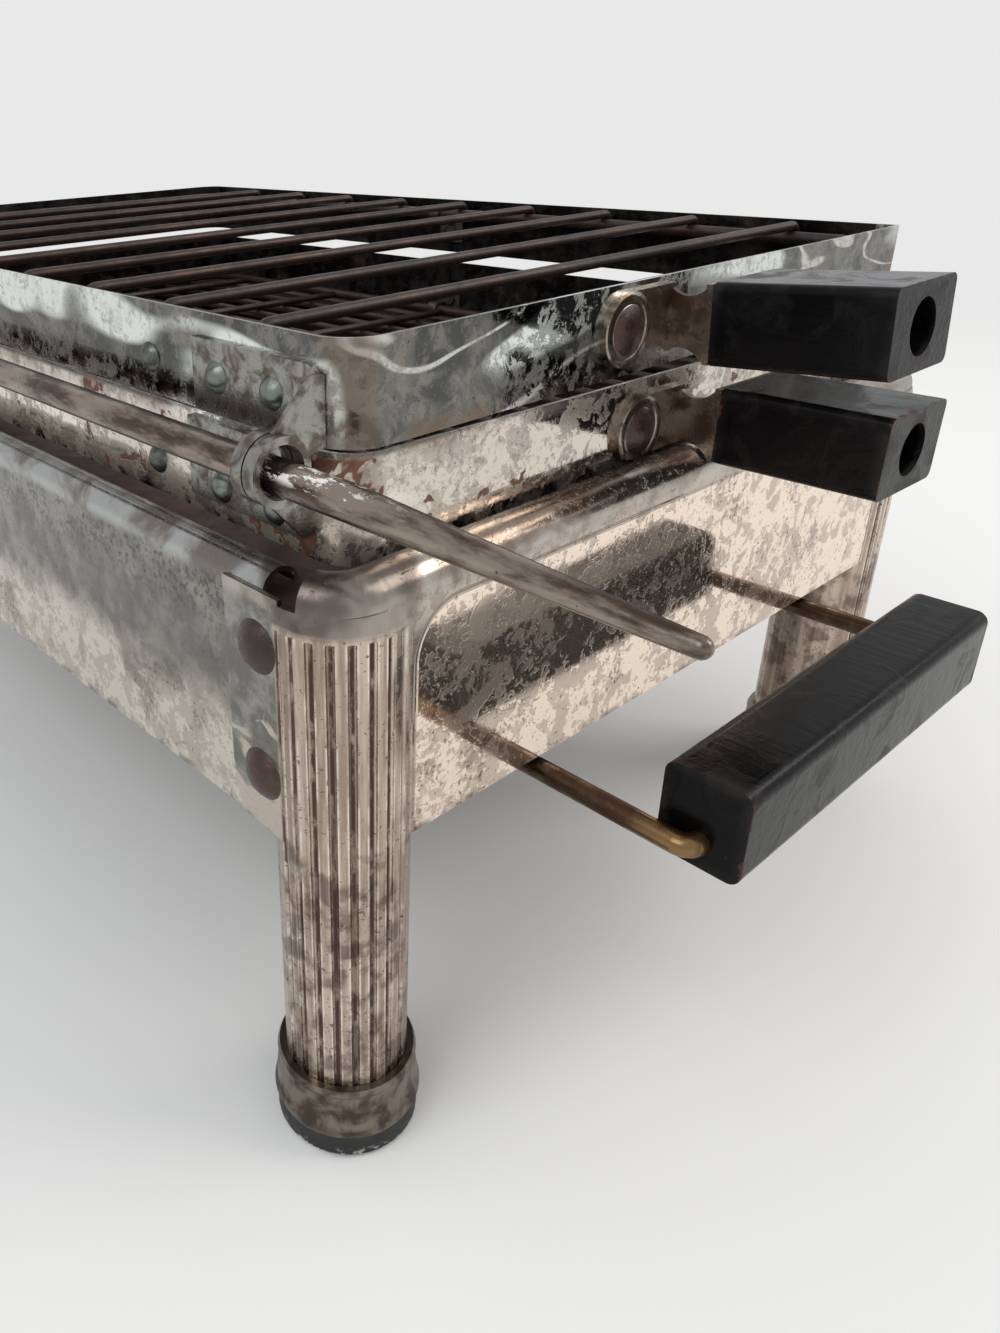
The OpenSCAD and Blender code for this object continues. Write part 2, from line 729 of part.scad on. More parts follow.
// Ceramic block that holds the pins inside the shroud
module inlet_body() {
    w = shroud_w - 4;
    h = shroud_h - 4;
    color("#e0dacd") placed() difference() {
        translate([inlet_mid - w / 2, base_d - inlet_depth, inlet_z - h / 2]) cube([w, inlet_depth - 2, h]);
        for (s = [-1, 1]) translate([inlet_mid + s * pin_pitch / 2, base_d - inlet_depth - over, inlet_z])
            rotate([-90, 0, 0]) cylinder(r = pin_r, h = inlet_depth + 2);
    }
}

module inlet_pins() {
    color("#b08a44") placed() for (s = [-1, 1]) translate([inlet_mid + s * pin_pitch / 2, 0, inlet_z]) {
        translate([0, base_d - inlet_depth - 4, 0]) rotate([-90, 0, 0]) cylinder(r = 1.6, h = 5);
        translate([0, base_d - inlet_depth, 0]) rotate([-90, 0, 0])
            cylinder(r = pin_r - 0.05, h = inlet_depth - 2 + pin_len - 1);
        translate([0, base_d - 3 + pin_len, 0]) sphere(pin_r - 0.05);
        translate([0, base_d - inlet_depth - 3, 0]) rotate([-90, 0, 0]) cylinder(r = 3, h = 2);
    }
}

// Pressed metal shroud round the pins, flanged on the rear panel
module inlet_shroud() {
    wall = 1;
    radii = [4, 4, 4, 4];
    inner = [for (r = radii) r - wall];
    flange = 12;
    color(steel_colour) placed() translate([inlet_mid, base_d - 8, inlet_z])
        rotate([90, 0, 0]) mirror([0, 0, 1]) difference() {
            union() {
                translate([-shroud_w / 2, -shroud_h / 2, 0]) linear_extrude(8 + shroud_out)
                    rounded_rect(shroud_w, shroud_h, radii);
                translate([-shroud_w / 2 - flange, -shroud_h / 2 - 1, 8]) linear_extrude(wall)
                    rounded_rect(shroud_w + 2 * flange, shroud_h + 2, [6, 6, 6, 6]);
            }
            translate([wall - shroud_w / 2, wall - shroud_h / 2, -over])
                linear_extrude(10 + 2 * shroud_out)
                    rounded_rect(shroud_w - 2 * wall, shroud_h - 2 * wall, inner);
            for (s = [-1, 1]) translate([s * (shroud_w / 2 + 6), 0, 7]) cylinder(r = screw_r, h = 4);
        }
}

module inlet_screws() {
    color(steel_colour) placed() for (s = [-1, 1])
        translate([inlet_mid + s * (shroud_w / 2 + 6), base_d + 1, inlet_z]) difference() {
            union() {
                rotate([90, 0, 0]) cylinder(r = screw_r - 0.1, h = 9);
                intersection() {
                    translate([0, -2.6, 0]) sphere(4.6, $fn = 64);
                    rotate([-90, 0, 0]) cylinder(r = 3.7, h = 3);
                }
                translate([0, -1 - box_inset - box_t, 0]) rotate([90, 0, 0])
                    cylinder(r = 3.4, h = 2.2, $fn = 6);
            }
            translate([-4, 1.3, -0.4]) cube([8, 2, 0.8]);
        }
}

// Drip tray
clip_w = 8;
clip_y = tray_inset + 18;

module tray_pan() {
    depth = tray_rear - tray_inset;
    radii = [3, 3, 3, 3];
    color("#8a857d") placed() difference() {
        translate([tray_left, tray_inset, tray_floor]) {
            linear_extrude(tray_t) rounded_rect(tray_w, depth, radii);
            linear_extrude(tray_h) wall_ring(tray_w, depth, radii, tray_t);
        }
        for (s = [-1, 1]) {
            translate([bail_mid + s * bail_w / 2 - bail_r - play, tray_inset - over, bail_z])
                cube([2 * bail_r + 2 * play, tray_t + 2 * over, tray_h]);
            translate([bail_mid + s * bail_w / 2, tray_inset - over, bail_z]) rotate([-90, 0, 0])
                cylinder(r = bail_r + play, h = tray_t + 2 * over);
            for (e = [-1, 1])
                translate([bail_mid + s * bail_w / 2 + e * clip_ear, clip_y, tray_floor - over])
                    cylinder(r = 1.1, h = 4);
        }
    }
}

clip_ear = bail_r + 4.4;

// Wire handle: two arms from inside the tray, each bent square into an end of the wooden bar
module tray_bail() {
    grip = 12;
    color("#5b4630") placed() for (s = [-1, 1]) {
        arm_x = bail_mid + s * bail_w / 2;
        rod_between([arm_x, tray_inset + bail_tail, bail_z],
                    [arm_x, bail_bend_r - bar_reach, bail_z], bail_r);
        translate([arm_x - s * bail_bend_r, bail_bend_r - bar_reach, bail_z])
            rotate(s > 0 ? 270 : 180) rotate_extrude(angle = 90) translate([bail_bend_r, 0]) circle(bail_r);
        rod_between([arm_x - s * bail_bend_r, -bar_reach, bail_z],
                    [arm_x - s * (bail_bend_r + grip), -bar_reach, bail_z], bail_r);
    }
}

// Saddle clips that hold the arms down on the tray's floor, with their rivets
module bail_clips() {
    outer = bail_r + saddle_t;
    floor_top = tray_floor + tray_t;
    color(steel_colour) placed() for (s = [-1, 1]) translate([bail_mid + s * bail_w / 2, clip_y, 0]) {
        difference() {
            union() {
                translate([0, clip_w / 2, bail_z]) rotate([90, 0, 0]) cylinder(r = outer, h = clip_w);
                translate([-outer, -clip_w / 2, floor_top]) cube([2 * outer, clip_w, bail_z - floor_top]);
                translate([-clip_ear - 2.6, -clip_w / 2, floor_top]) cube([2 * clip_ear + 5.2, clip_w, 1]);
            }
            translate([0, clip_w / 2 + over, bail_z]) rotate([90, 0, 0])
                cylinder(r = bail_r + 0.05, h = clip_w + 2 * over);
            translate([-bail_r - 0.05, -clip_w / 2 - over, floor_top - over])
                cube([2 * bail_r + 0.1, clip_w + 2 * over, bail_z - floor_top + over]);
        }
        for (e = [-1, 1]) translate([e * clip_ear, 0, 0]) {
            translate([0, 0, tray_floor]) cylinder(r = 1.05, h = tray_t + 1 + weld);
            translate([0, 0, floor_top + 1]) cylinder(r = 2, h = 0.7);
        }
    }
}

// Black wooden bar with rounded long edges, bored at both ends for the wire
module tray_handle_bar() {
    color(wood_colour) placed() difference() {
        translate([bail_mid - bar_len / 2, -bar_reach - bar_d / 2, bar_z - bar_h / 2]) rotate([90, 0, 90])
            linear_extrude(bar_len)
                rounded_rect(bar_d, bar_h, [bar_edge_r, bar_edge_r, bar_edge_r, bar_edge_r]);
        for (s = [-1, 1])
            translate([bail_mid + s * bar_len / 2, -bar_reach, bail_z]) rotate([0, -s * 90, 0])
                translate([0, 0, -over]) cylinder(r = bail_r + 0.05, h = 14 + over);
    }
}

// Basket frames
frame_radii = [frame_corner_r, frame_seam_r, frame_corner_r, frame_corner_r];
leaf_rivets_y = [12.4, 26.2];
clip_rivet_y = 50;

// Places that carry a hole in a frame wall: leaf rivets, clip rivets and the strap rivet.
// rivet_z is the height of the leaf and clip rivets.
module wall_holes(rivet_z, strap_x, strap_z) {
    for (y = leaf_rivets_y, end = [0, 1]) {
        place = end == 0 ? upper_eye_y + y : base_d - upper_eye_y - y;
        translate([wall_left - over, place, rivet_z]) hole_x(1.2, 4);
    }
    for (y = [wall_front + clip_rivet_y, wall_rear - clip_rivet_y])
        translate([wall_left - over, y, rivet_z]) hole_x(1.2, 4);
    translate([wall_right - 3, base_d / 2, rivet_z]) hole_x(1.2, 6);
    translate([strap_x, wall_front + 3, strap_z]) rotate([90, 0, 0]) cylinder(r = 2.2, h = 6);
}

module frame_wall(bottom, height) {
    translate([wall_left, wall_front, bottom]) linear_extrude(height)
        wall_ring(frame_w, frame_d, frame_radii, frame_t);
}

upper_rivet_z = upper_bottom + 6.2;
lower_rivet_z = lower_top - 11.2;
upper_strap_x = wall_left + upper_bend - strap_len;
lower_strap_x = wall_left + lower_bend - strap_len;

module lower_frame_wall() {
    color(chrome_colour) placed() sagging() difference() {
        frame_wall(lower_bottom, lower_wall_h);
        wall_holes(lower_rivet_z, lower_strap_x, lower_strap_z);
    }
}

module upper_frame_wall() {
    color(chrome_colour) placed() difference() {
        frame_wall(upper_bottom, upper_wall_h);
        wall_holes(upper_rivet_z, upper_strap_x, upper_strap_z);
    }
}

// Rod that runs round a grid, with bent corners
module rim_rod(z) {
    r = rim_corner_r;
    rod_between([rim_left + r, rim_front, z], [rim_right - r, rim_front, z], rim_rod_r);
    rod_between([rim_left + r, rim_rear, z], [rim_right - r, rim_rear, z], rim_rod_r);
    rod_between([rim_left, rim_front + r, z], [rim_left, rim_rear - r, z], rim_rod_r);
    rod_between([rim_right, rim_front + r, z], [rim_right, rim_rear - r, z], rim_rod_r);
    corners = [[rim_left + r, rim_front + r, 180], [rim_right - r, rim_front + r, 270],
               [rim_right - r, rim_rear - r, 0], [rim_left + r, rim_rear - r, 90]];
    for (c = corners) translate([c[0], c[1], z]) rotate(c[2]) rotate_extrude(angle = 90)
        translate([r, 0]) circle(rim_rod_r);
}

// A straight wire along +X with both ends hooked round the rim rod, from z = 0 upwards.
// The wire lies at the height of hook_r above the rod's middle.
module hooked_wire(length) {
    rod_between([0, 0, hook_r], [length, 0, hook_r], wire_r);
    for (end = [0, 1]) translate([end * length, 0, 0]) mirror([end, 0, 0])
        rotate([90, 0, 0]) rotate([0, 0, 90]) rotate_extrude(angle = hook_angle - 90)
            translate([hook_r, 0]) circle(wire_r);
}

cross_count = floor((rim_rear - wall_front - first_wire - rim_corner_r) / upper_pitch);
long_span = rim_right - rim_left - 2 * rim_corner_r;
long_count = floor(long_span / lower_pitch);
lower_cross_count = floor((rim_rear - rim_front - 2 * rim_corner_r) / lower_cross_pitch);

module upper_grid_rim() {
    color("#4a3a30") placed() rim_rod(upper_rim_z);
}

module upper_grid_wires() {
    color("#4a3a30") placed() for (i = [0 : cross_count])
        translate([rim_left, wall_front + first_wire + i * upper_pitch, upper_rim_z])
            hooked_wire(rim_right - rim_left);
}

module lower_grid_rim() {
    color("#4a3a30") placed() sagging() rim_rod(lower_rim_z);
}

// Long wires hooked round the rim from below, and cross wires on top of them that end at the rim
module lower_grid_wires() {
    margin = (rim_right - rim_left - long_count * lower_pitch) / 2;
    cross_z = lower_rim_z - hook_r + 2 * (wire_r + wire_gap);
    cross_margin = (rim_rear - rim_front - lower_cross_count * lower_cross_pitch) / 2;
    cross_end = rim_rod_r + wire_gap;
    color("#4a3a30") placed() sagging() {
        for (i = [0 : long_count]) translate([rim_left + margin + i * lower_pitch, rim_front, lower_rim_z])
            rotate(90) mirror([0, 0, 1]) hooked_wire(rim_rear - rim_front);
        for (i = [0 : lower_cross_count]) {
            y = rim_front + cross_margin + i * lower_cross_pitch;
            rod_between([rim_left + cross_end, y, cross_z], [rim_right - cross_end, y, cross_z], wire_r);
        }
    }
}

upper_rise = upper_bottom - hinge_z + 0.2;
lower_rise = 0.2;

module flipped_leaf() {
    translate([0, 0, 2 * hinge_z]) mirror([0, 0, 1]) children();
}

// The lower leaf is the upper one turned over, with its rivet holes at the lower frame's rivets
module lower_leaf() {
    difference() {
        flipped_leaf() leaf_body(lower_eye_y, lower_rise, lower_leaf_h);
        for (y = leaf_rivets_y) translate([leaf_x - over, upper_eye_y + y, lower_rivet_z]) hole_x(1.2, 4);
    }
}

// A hinge leaf in the upper frame's place at the front: plate on the wall, ear and round eye.
// eye_start is where the eye begins along the hinge line, rise is the leaf's lower edge above it.
module leaf_body(eye_start, rise, height) {
    ear_y = eye_start + eye_w - leaf_t;
    top = rise + height;
    corner = 3;
    ear = [[wall_left, top - corner * 0.4], [leaf_x - 1, top - corner * 0.3], [hinge_x + 2.4, 7.6],
           [hinge_x - 0.4, eye_r - 0.4], [hinge_x + 3.4, -1], [leaf_x - 1, rise], [wall_left, rise]];
    difference() {
        union() {
            translate([leaf_x, ear_y, hinge_z + rise]) cube([leaf_t, leaf_len, height - corner]);
            translate([leaf_x, ear_y + corner, hinge_z + rise + height - corner - weld])
                cube([leaf_t, leaf_len - corner, corner + weld]);
            translate([leaf_x, ear_y + corner, hinge_z + rise + height - corner]) hole_x(corner, leaf_t);
            translate([0, ear_y + leaf_t, hinge_z]) rotate([90, 0, 0]) linear_extrude(leaf_t) polygon(ear);
            translate([hinge_x, eye_start + eye_w, hinge_z]) rotate([90, 0, 0])
                cylinder(r = eye_r, h = eye_w);
        }
        translate([hinge_x, eye_start + eye_w + over, hinge_z]) rotate([90, 0, 0])
            cylinder(r = eye_hole_r, h = eye_w + 2 * over);
    }
}

module upper_leaf() {
    difference() {
        leaf_body(upper_eye_y, upper_rise, leaf_h);
        for (y = leaf_rivets_y) translate([leaf_x - over, upper_eye_y + y, upper_rivet_z]) hole_x(1.2, 4);
    }
}

module upper_hinge_leaf_front() {
    color(chrome_colour) placed() upper_leaf();
}

module upper_hinge_leaf_rear() {
    color(chrome_colour) placed() on_rear() upper_leaf();
}

module lower_hinge_leaf_front() {
    color(chrome_colour) placed() sagging() lower_leaf();
}

module lower_hinge_leaf_rear() {
    color(chrome_colour) placed() sagging() on_rear() lower_leaf();
}

module leaf_rivet_row(z) {
    for (y = leaf_rivets_y, end = [0, 1]) {
        place = end == 0 ? upper_eye_y + y : base_d - upper_eye_y - y;
        translate([leaf_x, place, z]) rivet(leaf_rivet_r, 1.5, 1.1, leaf_t + frame_t, 0.8);
    }
}

module upper_leaf_rivets() {
    color(steel_colour) placed() leaf_rivet_row(upper_rivet_z);
}

module lower_leaf_rivets() {
    color(steel_colour) placed() sagging() leaf_rivet_row(lower_rivet_z);
}

clip_t = 0.8;

// A clip inside the left wall, over a rim rod that lies rise above the rivet: plate behind the
// rivet, and beside it a tab bent in under the rod and curled up round its inner side
module grid_clip(rise) {
    inner_x = wall_left + frame_t;
    curl_r = rim_rod_r + 0.05;
    tab_y = 1.6;
    tab_w = 3.6;
    shelf = rise - curl_r - clip_t;
    difference() {
        union() {
            translate([inner_x, -4, -3]) cube([clip_t, 4 + tab_y + tab_w, 6]);
            translate([inner_x, tab_y, 0]) cube([clip_t, tab_w, shelf + clip_t]);
            translate([inner_x, tab_y, shelf]) cube([rim_left - inner_x + weld, tab_w, clip_t]);
            translate([rim_left, tab_y + tab_w, rise]) rotate([90, 0, 0]) linear_extrude(tab_w)
                difference() {
                    circle(curl_r + clip_t);
                    circle(curl_r);
                    translate([-2 * curl_r, -2 * curl_r]) square([2 * curl_r, 4 * curl_r]);
                }
        }
        translate([inner_x - over, 0, 0]) hole_x(1.2, 4);
    }
}

module all_clips(rivet_z, rise) {
    flip = rise > 0 ? 0 : 1;
    for (y = [wall_front + clip_rivet_y, wall_rear - clip_rivet_y])
        translate([0, y, rivet_z]) mirror([0, 0, flip]) grid_clip(abs(rise));
    translate([0, base_d / 2, rivet_z]) on_right() mirror([0, 0, flip]) grid_clip(abs(rise));
}

module upper_grid_clips() {
    color(steel_colour) placed() all_clips(upper_rivet_z, upper_rim_z - upper_rivet_z);
}

module lower_grid_clips() {
    color(steel_colour) placed() sagging() all_clips(lower_rivet_z, lower_rim_z - lower_rivet_z);
}

module clip_rivet_row(z) {
    grip = frame_t + clip_t;
    for (y = [wall_front + clip_rivet_y, wall_rear - clip_rivet_y])
        translate([wall_left, y, z]) rivet(leaf_rivet_r, 1.5, 1.1, grip, 0.8);
    translate([wall_right, base_d / 2, z]) mirror([1, 0, 0]) rivet(leaf_rivet_r, 1.5, 1.1, grip, 0.8);
}

module upper_clip_rivets() {
    color(steel_colour) placed() clip_rivet_row(upper_rivet_z);
}

module lower_clip_rivets() {
    color(steel_colour) placed() sagging() clip_rivet_row(lower_rivet_z);
}

// Strap from a frame's front wall: round eye on the wall, tab with a waist, plate behind the block
module strap(bend_x, mid_z, lift) {
    rivet_x = bend_x - strap_len;
    waist_r = 4.6;
    tab_d = strap_reach;
    difference() {
        union() {
            translate([rivet_x, wall_front, mid_z]) rotate([90, 0, 0]) linear_extrude(strap_t) union() {
                circle(strap_h / 2);
                translate([0, -strap_h / 2]) square([strap_len + strap_t, strap_h]);
            }
            difference() {
                translate([bend_x, plate_front, mid_z - strap_h / 2]) cube([strap_t, tab_d, strap_h]);
                for (s = [-1, 1])
                    translate([bend_x - over, wall_front - strap_t - 2.9,
                               mid_z + s * (strap_h / 2 + waist_r - 1.9)])
                        hole_x(waist_r, strap_t + 2 * over);
            }
            lifted(mid_z, lift) translate([bend_x, plate_front, mid_z - strap_h / 2 - 0.4])
                cube([block_w - 1, strap_t, strap_h + 0.8]);
        }
        translate([rivet_x, wall_front + over, mid_z]) rotate([90, 0, 0])
            cylinder(r = 2.2, h = strap_t + 2 * over);
        lifted(mid_z, lift) {
            translate([bend_x + block_w / 2, plate_front + strap_t + over, mid_z])
                rotate([90, 0, 0]) cylinder(r = screw_r + 0.1, h = strap_t + 2 * over);
            translate([bend_x - over, plate_front - tab_d, mid_z - strap_h])
                cube([block_w + 2 * over, tab_d, 2 * strap_h]);
        }
    }
}

// Tips a handle up about the strap's outer plate
module lifted(mid_z, lift) {
    translate([0, plate_front, mid_z]) rotate([-lift, 0, 0])
        translate([0, -plate_front, -mid_z]) children();
}

upper_bend_x = wall_left + upper_bend;
lower_bend_x = wall_left + lower_bend;

module upper_strap() {
    color(steel_colour) placed() strap(upper_bend_x, upper_strap_z, handle_lift);
}

// The lower strap is arched underneath, over the roll of the base's front panel
module lower_strap() {
    color(steel_colour) placed() difference() {
        sagging() strap(lower_bend_x, lower_strap_z, 0);
        translate([lower_strap_x - strap_h, end_roll_r, panel_top])
            hole_x(end_roll_r + 0.5, strap_h + strap_len + block_w + 2 * over);
    }
}

module strap_rivet(x, z) {
    translate([x, wall_front - strap_t, z]) rotate([0, 0, 90])
        rivet(strap_rivet_r, 1.1, 2.1, strap_t + frame_t, 1);
}

module upper_strap_rivet() {
    color(steel_colour) placed() strap_rivet(upper_strap_x, upper_strap_z);
}

module lower_strap_rivet() {
    color(steel_colour) placed() sagging() strap_rivet(lower_strap_x, lower_strap_z);
}

// Black wooden block with a deep hole in its outer end and a screw hole through to the strap
module handle_block(bend_x, mid_z) {
    edge = 1.4;
    difference() {
        translate([bend_x, plate_front, mid_z - block_h / 2]) rotate([90, 0, 0]) linear_extrude(block_len)
            rounded_rect(block_w, block_h, [edge, edge, edge, edge]);
        translate([bend_x + block_w / 2, plate_front - block_len - over, mid_z]) rotate([-90, 0, 0])
            cylinder(r = block_hole_r, h = block_hole_depth + over);
        translate([bend_x + block_w / 2, plate_front - block_len - over, mid_z]) rotate([-90, 0, 0])
            cylinder(r = screw_r + 0.1, h = block_len + 2 * over);
    }
}

module upper_handle_block() {
    color(wood_colour) placed()
        lifted(upper_strap_z, handle_lift) handle_block(upper_bend_x, upper_strap_z);
}

module lower_handle_block() {
    color(wood_colour) placed() sagging() handle_block(lower_bend_x, lower_strap_z);
}

// Slotted screw from the bottom of the deep hole, through the block and the strap
module handle_screw(bend_x, mid_z) {
    seat = plate_front - block_len + block_hole_depth;
    translate([bend_x + block_w / 2, seat, mid_z]) difference() {
        union() {
            rotate([90, 0, 0]) cylinder(r = block_hole_r - 0.5, h = head_t);
            translate([0, -weld, 0]) rotate([-90, 0, 0])
                cylinder(r = screw_r, h = plate_front - seat + strap_t + nut_t + 0.6);
        }
        translate([-5, -head_t - over, -0.5]) cube([10, 1 + over, 1]);
    }
}

module handle_nut(bend_x, mid_z) {
    size = 6.6;
    translate([bend_x + block_w / 2, plate_front + strap_t, mid_z]) rotate([-90, 0, 0]) difference() {
        translate([-size / 2, -size / 2, 0]) cube([size, size, nut_t]);
        translate([0, 0, -over]) cylinder(r = screw_r + 0.05, h = nut_t + 2 * over);
    }
}

module upper_handle_screw() {
    color(steel_colour) placed()
        lifted(upper_strap_z, handle_lift) handle_screw(upper_bend_x, upper_strap_z);
}

module lower_handle_screw() {
    color(steel_colour) placed() sagging() handle_screw(lower_bend_x, lower_strap_z);
}

module upper_handle_nut() {
    color(steel_colour) placed()
        lifted(upper_strap_z, handle_lift) handle_nut(upper_bend_x, upper_strap_z);
}

module lower_handle_nut() {
    color(steel_colour) placed() sagging() handle_nut(lower_bend_x, lower_strap_z);
}

// Hinge rod: straight through all the eyes, then a tapered tang bent a little down in front
module hinge_rod() {
    rear = base_d - upper_eye_y + rod_rear;
    front = tang_start;
    length = (front + tang_reach) / cos(tang_drop) - rod_tip_r;
    color(steel_colour) placed() translate([hinge_x, 0, rod_z]) {
        translate([0, rear, 0]) rotate([90, 0, 0]) cylinder(r = rod_r, h = rear - front);
        translate([0, front, 0]) sphere(rod_r);
        translate([0, front, 0]) rotate([90 + tang_drop, 0, 0]) {
            cylinder(r1 = rod_r, r2 = rod_tip_r, h = length);
            translate([0, 0, length]) sphere(rod_tip_r);
        }
    }
}

front_panel();
rear_panel();
left_side_panel();
right_side_panel();
corner_rivets();
foot_ferrules();
rubber_feet();
heat_box();
tray_runner_left();
tray_runner_right();
runner_rivets();
heater_rails();
rail_rivets();
ceramic_bars();
heating_wire();
terminal_posts();
contact_straps();
inlet_body();
inlet_pins();
inlet_shroud();
inlet_screws();
tray_pan();
tray_bail();
bail_clips();
tray_handle_bar();
lower_frame_wall();
lower_grid_rim();
lower_grid_wires();
lower_hinge_leaf_front();
lower_hinge_leaf_rear();
lower_leaf_rivets();
lower_grid_clips();
lower_clip_rivets();
lower_strap();
lower_strap_rivet();
lower_handle_block();
lower_handle_screw();
lower_handle_nut();
hinge_rod();
upper_frame_wall();
upper_grid_rim();
upper_grid_wires();
upper_hinge_leaf_front();
upper_hinge_leaf_rear();
upper_leaf_rivets();
upper_grid_clips();
upper_clip_rivets();
upper_strap();
upper_strap_rivet();
upper_handle_block();
upper_handle_screw();
upper_handle_nut();
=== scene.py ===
"""Looks for the electric flip toaster: worn plating, rust, black wood and a wound heating wire."""

import json
import math
from types import SimpleNamespace

import bpy
import numpy as np
from mathutils import Matrix, Vector


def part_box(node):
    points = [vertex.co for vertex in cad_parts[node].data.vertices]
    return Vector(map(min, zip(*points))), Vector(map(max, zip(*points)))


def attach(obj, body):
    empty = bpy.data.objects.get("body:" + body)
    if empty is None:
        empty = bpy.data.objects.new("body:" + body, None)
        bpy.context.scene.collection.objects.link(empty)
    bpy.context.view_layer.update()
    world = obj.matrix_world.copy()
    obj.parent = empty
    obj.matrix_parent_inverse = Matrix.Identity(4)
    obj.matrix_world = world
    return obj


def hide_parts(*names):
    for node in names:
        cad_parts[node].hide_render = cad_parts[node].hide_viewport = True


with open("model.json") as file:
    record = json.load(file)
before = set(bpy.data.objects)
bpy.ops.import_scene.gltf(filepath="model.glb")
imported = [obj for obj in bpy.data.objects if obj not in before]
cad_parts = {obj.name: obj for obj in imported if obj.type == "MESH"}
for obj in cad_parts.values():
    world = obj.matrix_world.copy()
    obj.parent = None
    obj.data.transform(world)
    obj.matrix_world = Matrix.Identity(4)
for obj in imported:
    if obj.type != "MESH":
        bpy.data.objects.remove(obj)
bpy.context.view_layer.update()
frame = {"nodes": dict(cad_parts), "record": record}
nodes = frame["nodes"]

MM = 0.001

# Measures taken from the frame


def middle(node):
    """Middle of a node's box."""
    low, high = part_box(node)
    return (low + high) / 2


def half(node):
    """Half sizes of a node's box."""
    low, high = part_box(node)
    return (high - low) / 2


# Plan of the fluted legs, mirrored to one corner; angles are seen from above, from the x axis
FERRULE_R = 13.5 * MM
LEG_R = 11.0 * MM
LEG_AXIS = (half("foot_ferrules")[0] - FERRULE_R, half("foot_ferrules")[1] - FERRULE_R)
FLUTES = 8
FLUTE_PITCH = math.radians(16.4)
FLUTES_MIDDLE = math.radians(48.5)
FIRST_FLUTE = FLUTES_MIDDLE - FLUTE_PITCH * (FLUTES - 1) / 2

# Heights in the base's panels
SHEET_LOW_Z = 66.0 * MM
FLUTE_TOP_Z = 103.0 * MM
LEG_TOP_Z = 104.0 * MM
ROLL_Z = 106.0 * MM

# Field of the end panels inside their crease
FIELD_INSET = 14.0 * MM
FIELD_CORNER_R = 9.0 * MM
FIELD_Z = 82.0 * MM
FIELD_HALF_Z = 22.5 * MM

# Outer radius of the basket's corners, seen from above, and the height of its hinge's axis
FRAME_CORNER_R = 7.0 * MM
HINGE_Z = 126.0 * MM


# Shader expressions


def paint(red, green, blue):
    """A screen colour, 0 to 255, as the linear colour that a socket takes."""
    part = [c / 255 for c in (red, green, blue)]
    return tuple(c / 12.92 if c <= 0.04045 else ((c + 0.055) / 1.055) ** 2.4 for c in part) + (1.0,)


class Val:
    """A shader socket with arithmetic: an expression on values adds its Math nodes."""

    def __init__(self, tree, socket):
        self.tree, self.socket = tree, socket

    def math(self, operation, first, second=0.0):
        return self.tree.node("Math", {"operation": operation}, {0: first, 1: second})

    def __add__(self, other):
        return self.math("ADD", self, other)

    def __radd__(self, other):
        return self.math("ADD", other, self)

    def __sub__(self, other):
        return self.math("SUBTRACT", self, other)

    def __rsub__(self, other):
        return self.math("SUBTRACT", other, self)

    def __mul__(self, other):
        return self.math("MULTIPLY", self, other)

    def __rmul__(self, other):
        return self.math("MULTIPLY", other, self)

    def __truediv__(self, other):
        return self.math("DIVIDE", self, other)

    def __abs__(self):
        return self.math("ABSOLUTE", self)

    def top(self, other):
        return self.math("MAXIMUM", self, other)

    def low(self, other):
        return self.math("MINIMUM", self, other)

    def root(self):
        return self.math("SQRT", self)

    def nearest(self):
        return self.math("ROUND", self)

    def turn_from(self, across):
        """Angle in radians whose tangent is this value over across."""
        return self.math("ARCTAN2", self, across)

    def rise(self, start, end):
        """0 below start, 1 above end, smooth between; falls where end is below start."""
        settings = {"interpolation_type": "SMOOTHSTEP"}
        if start < end:
            return self.tree.node("MapRange", settings, {0: self, 1: start, 2: end, 3: 0.0, 4: 1.0})
        return self.tree.node("MapRange", settings, {0: self, 1: end, 2: start, 3: 1.0, 4: 0.0})


class Tree:
    """A node tree that is filled from values."""

    def __init__(self, tree):
        self.tree = tree
        tree.nodes.clear()

    def put(self, socket, value):
        if isinstance(value, Val):
            self.tree.links.new(value.socket, socket)
        else:
            socket.default_value = value

    def node(self, kind, settings, values, out=0):
        """Makes any shader node: its settings first, then the values or links of its sockets."""
        made = self.tree.nodes.new("ShaderNode" + kind)
        for key, value in settings.items():
            setattr(made, key, value)
        for key, value in values.items():
            self.put(made.inputs[key], value)
        return Val(self, made.outputs[out]) if made.outputs else None


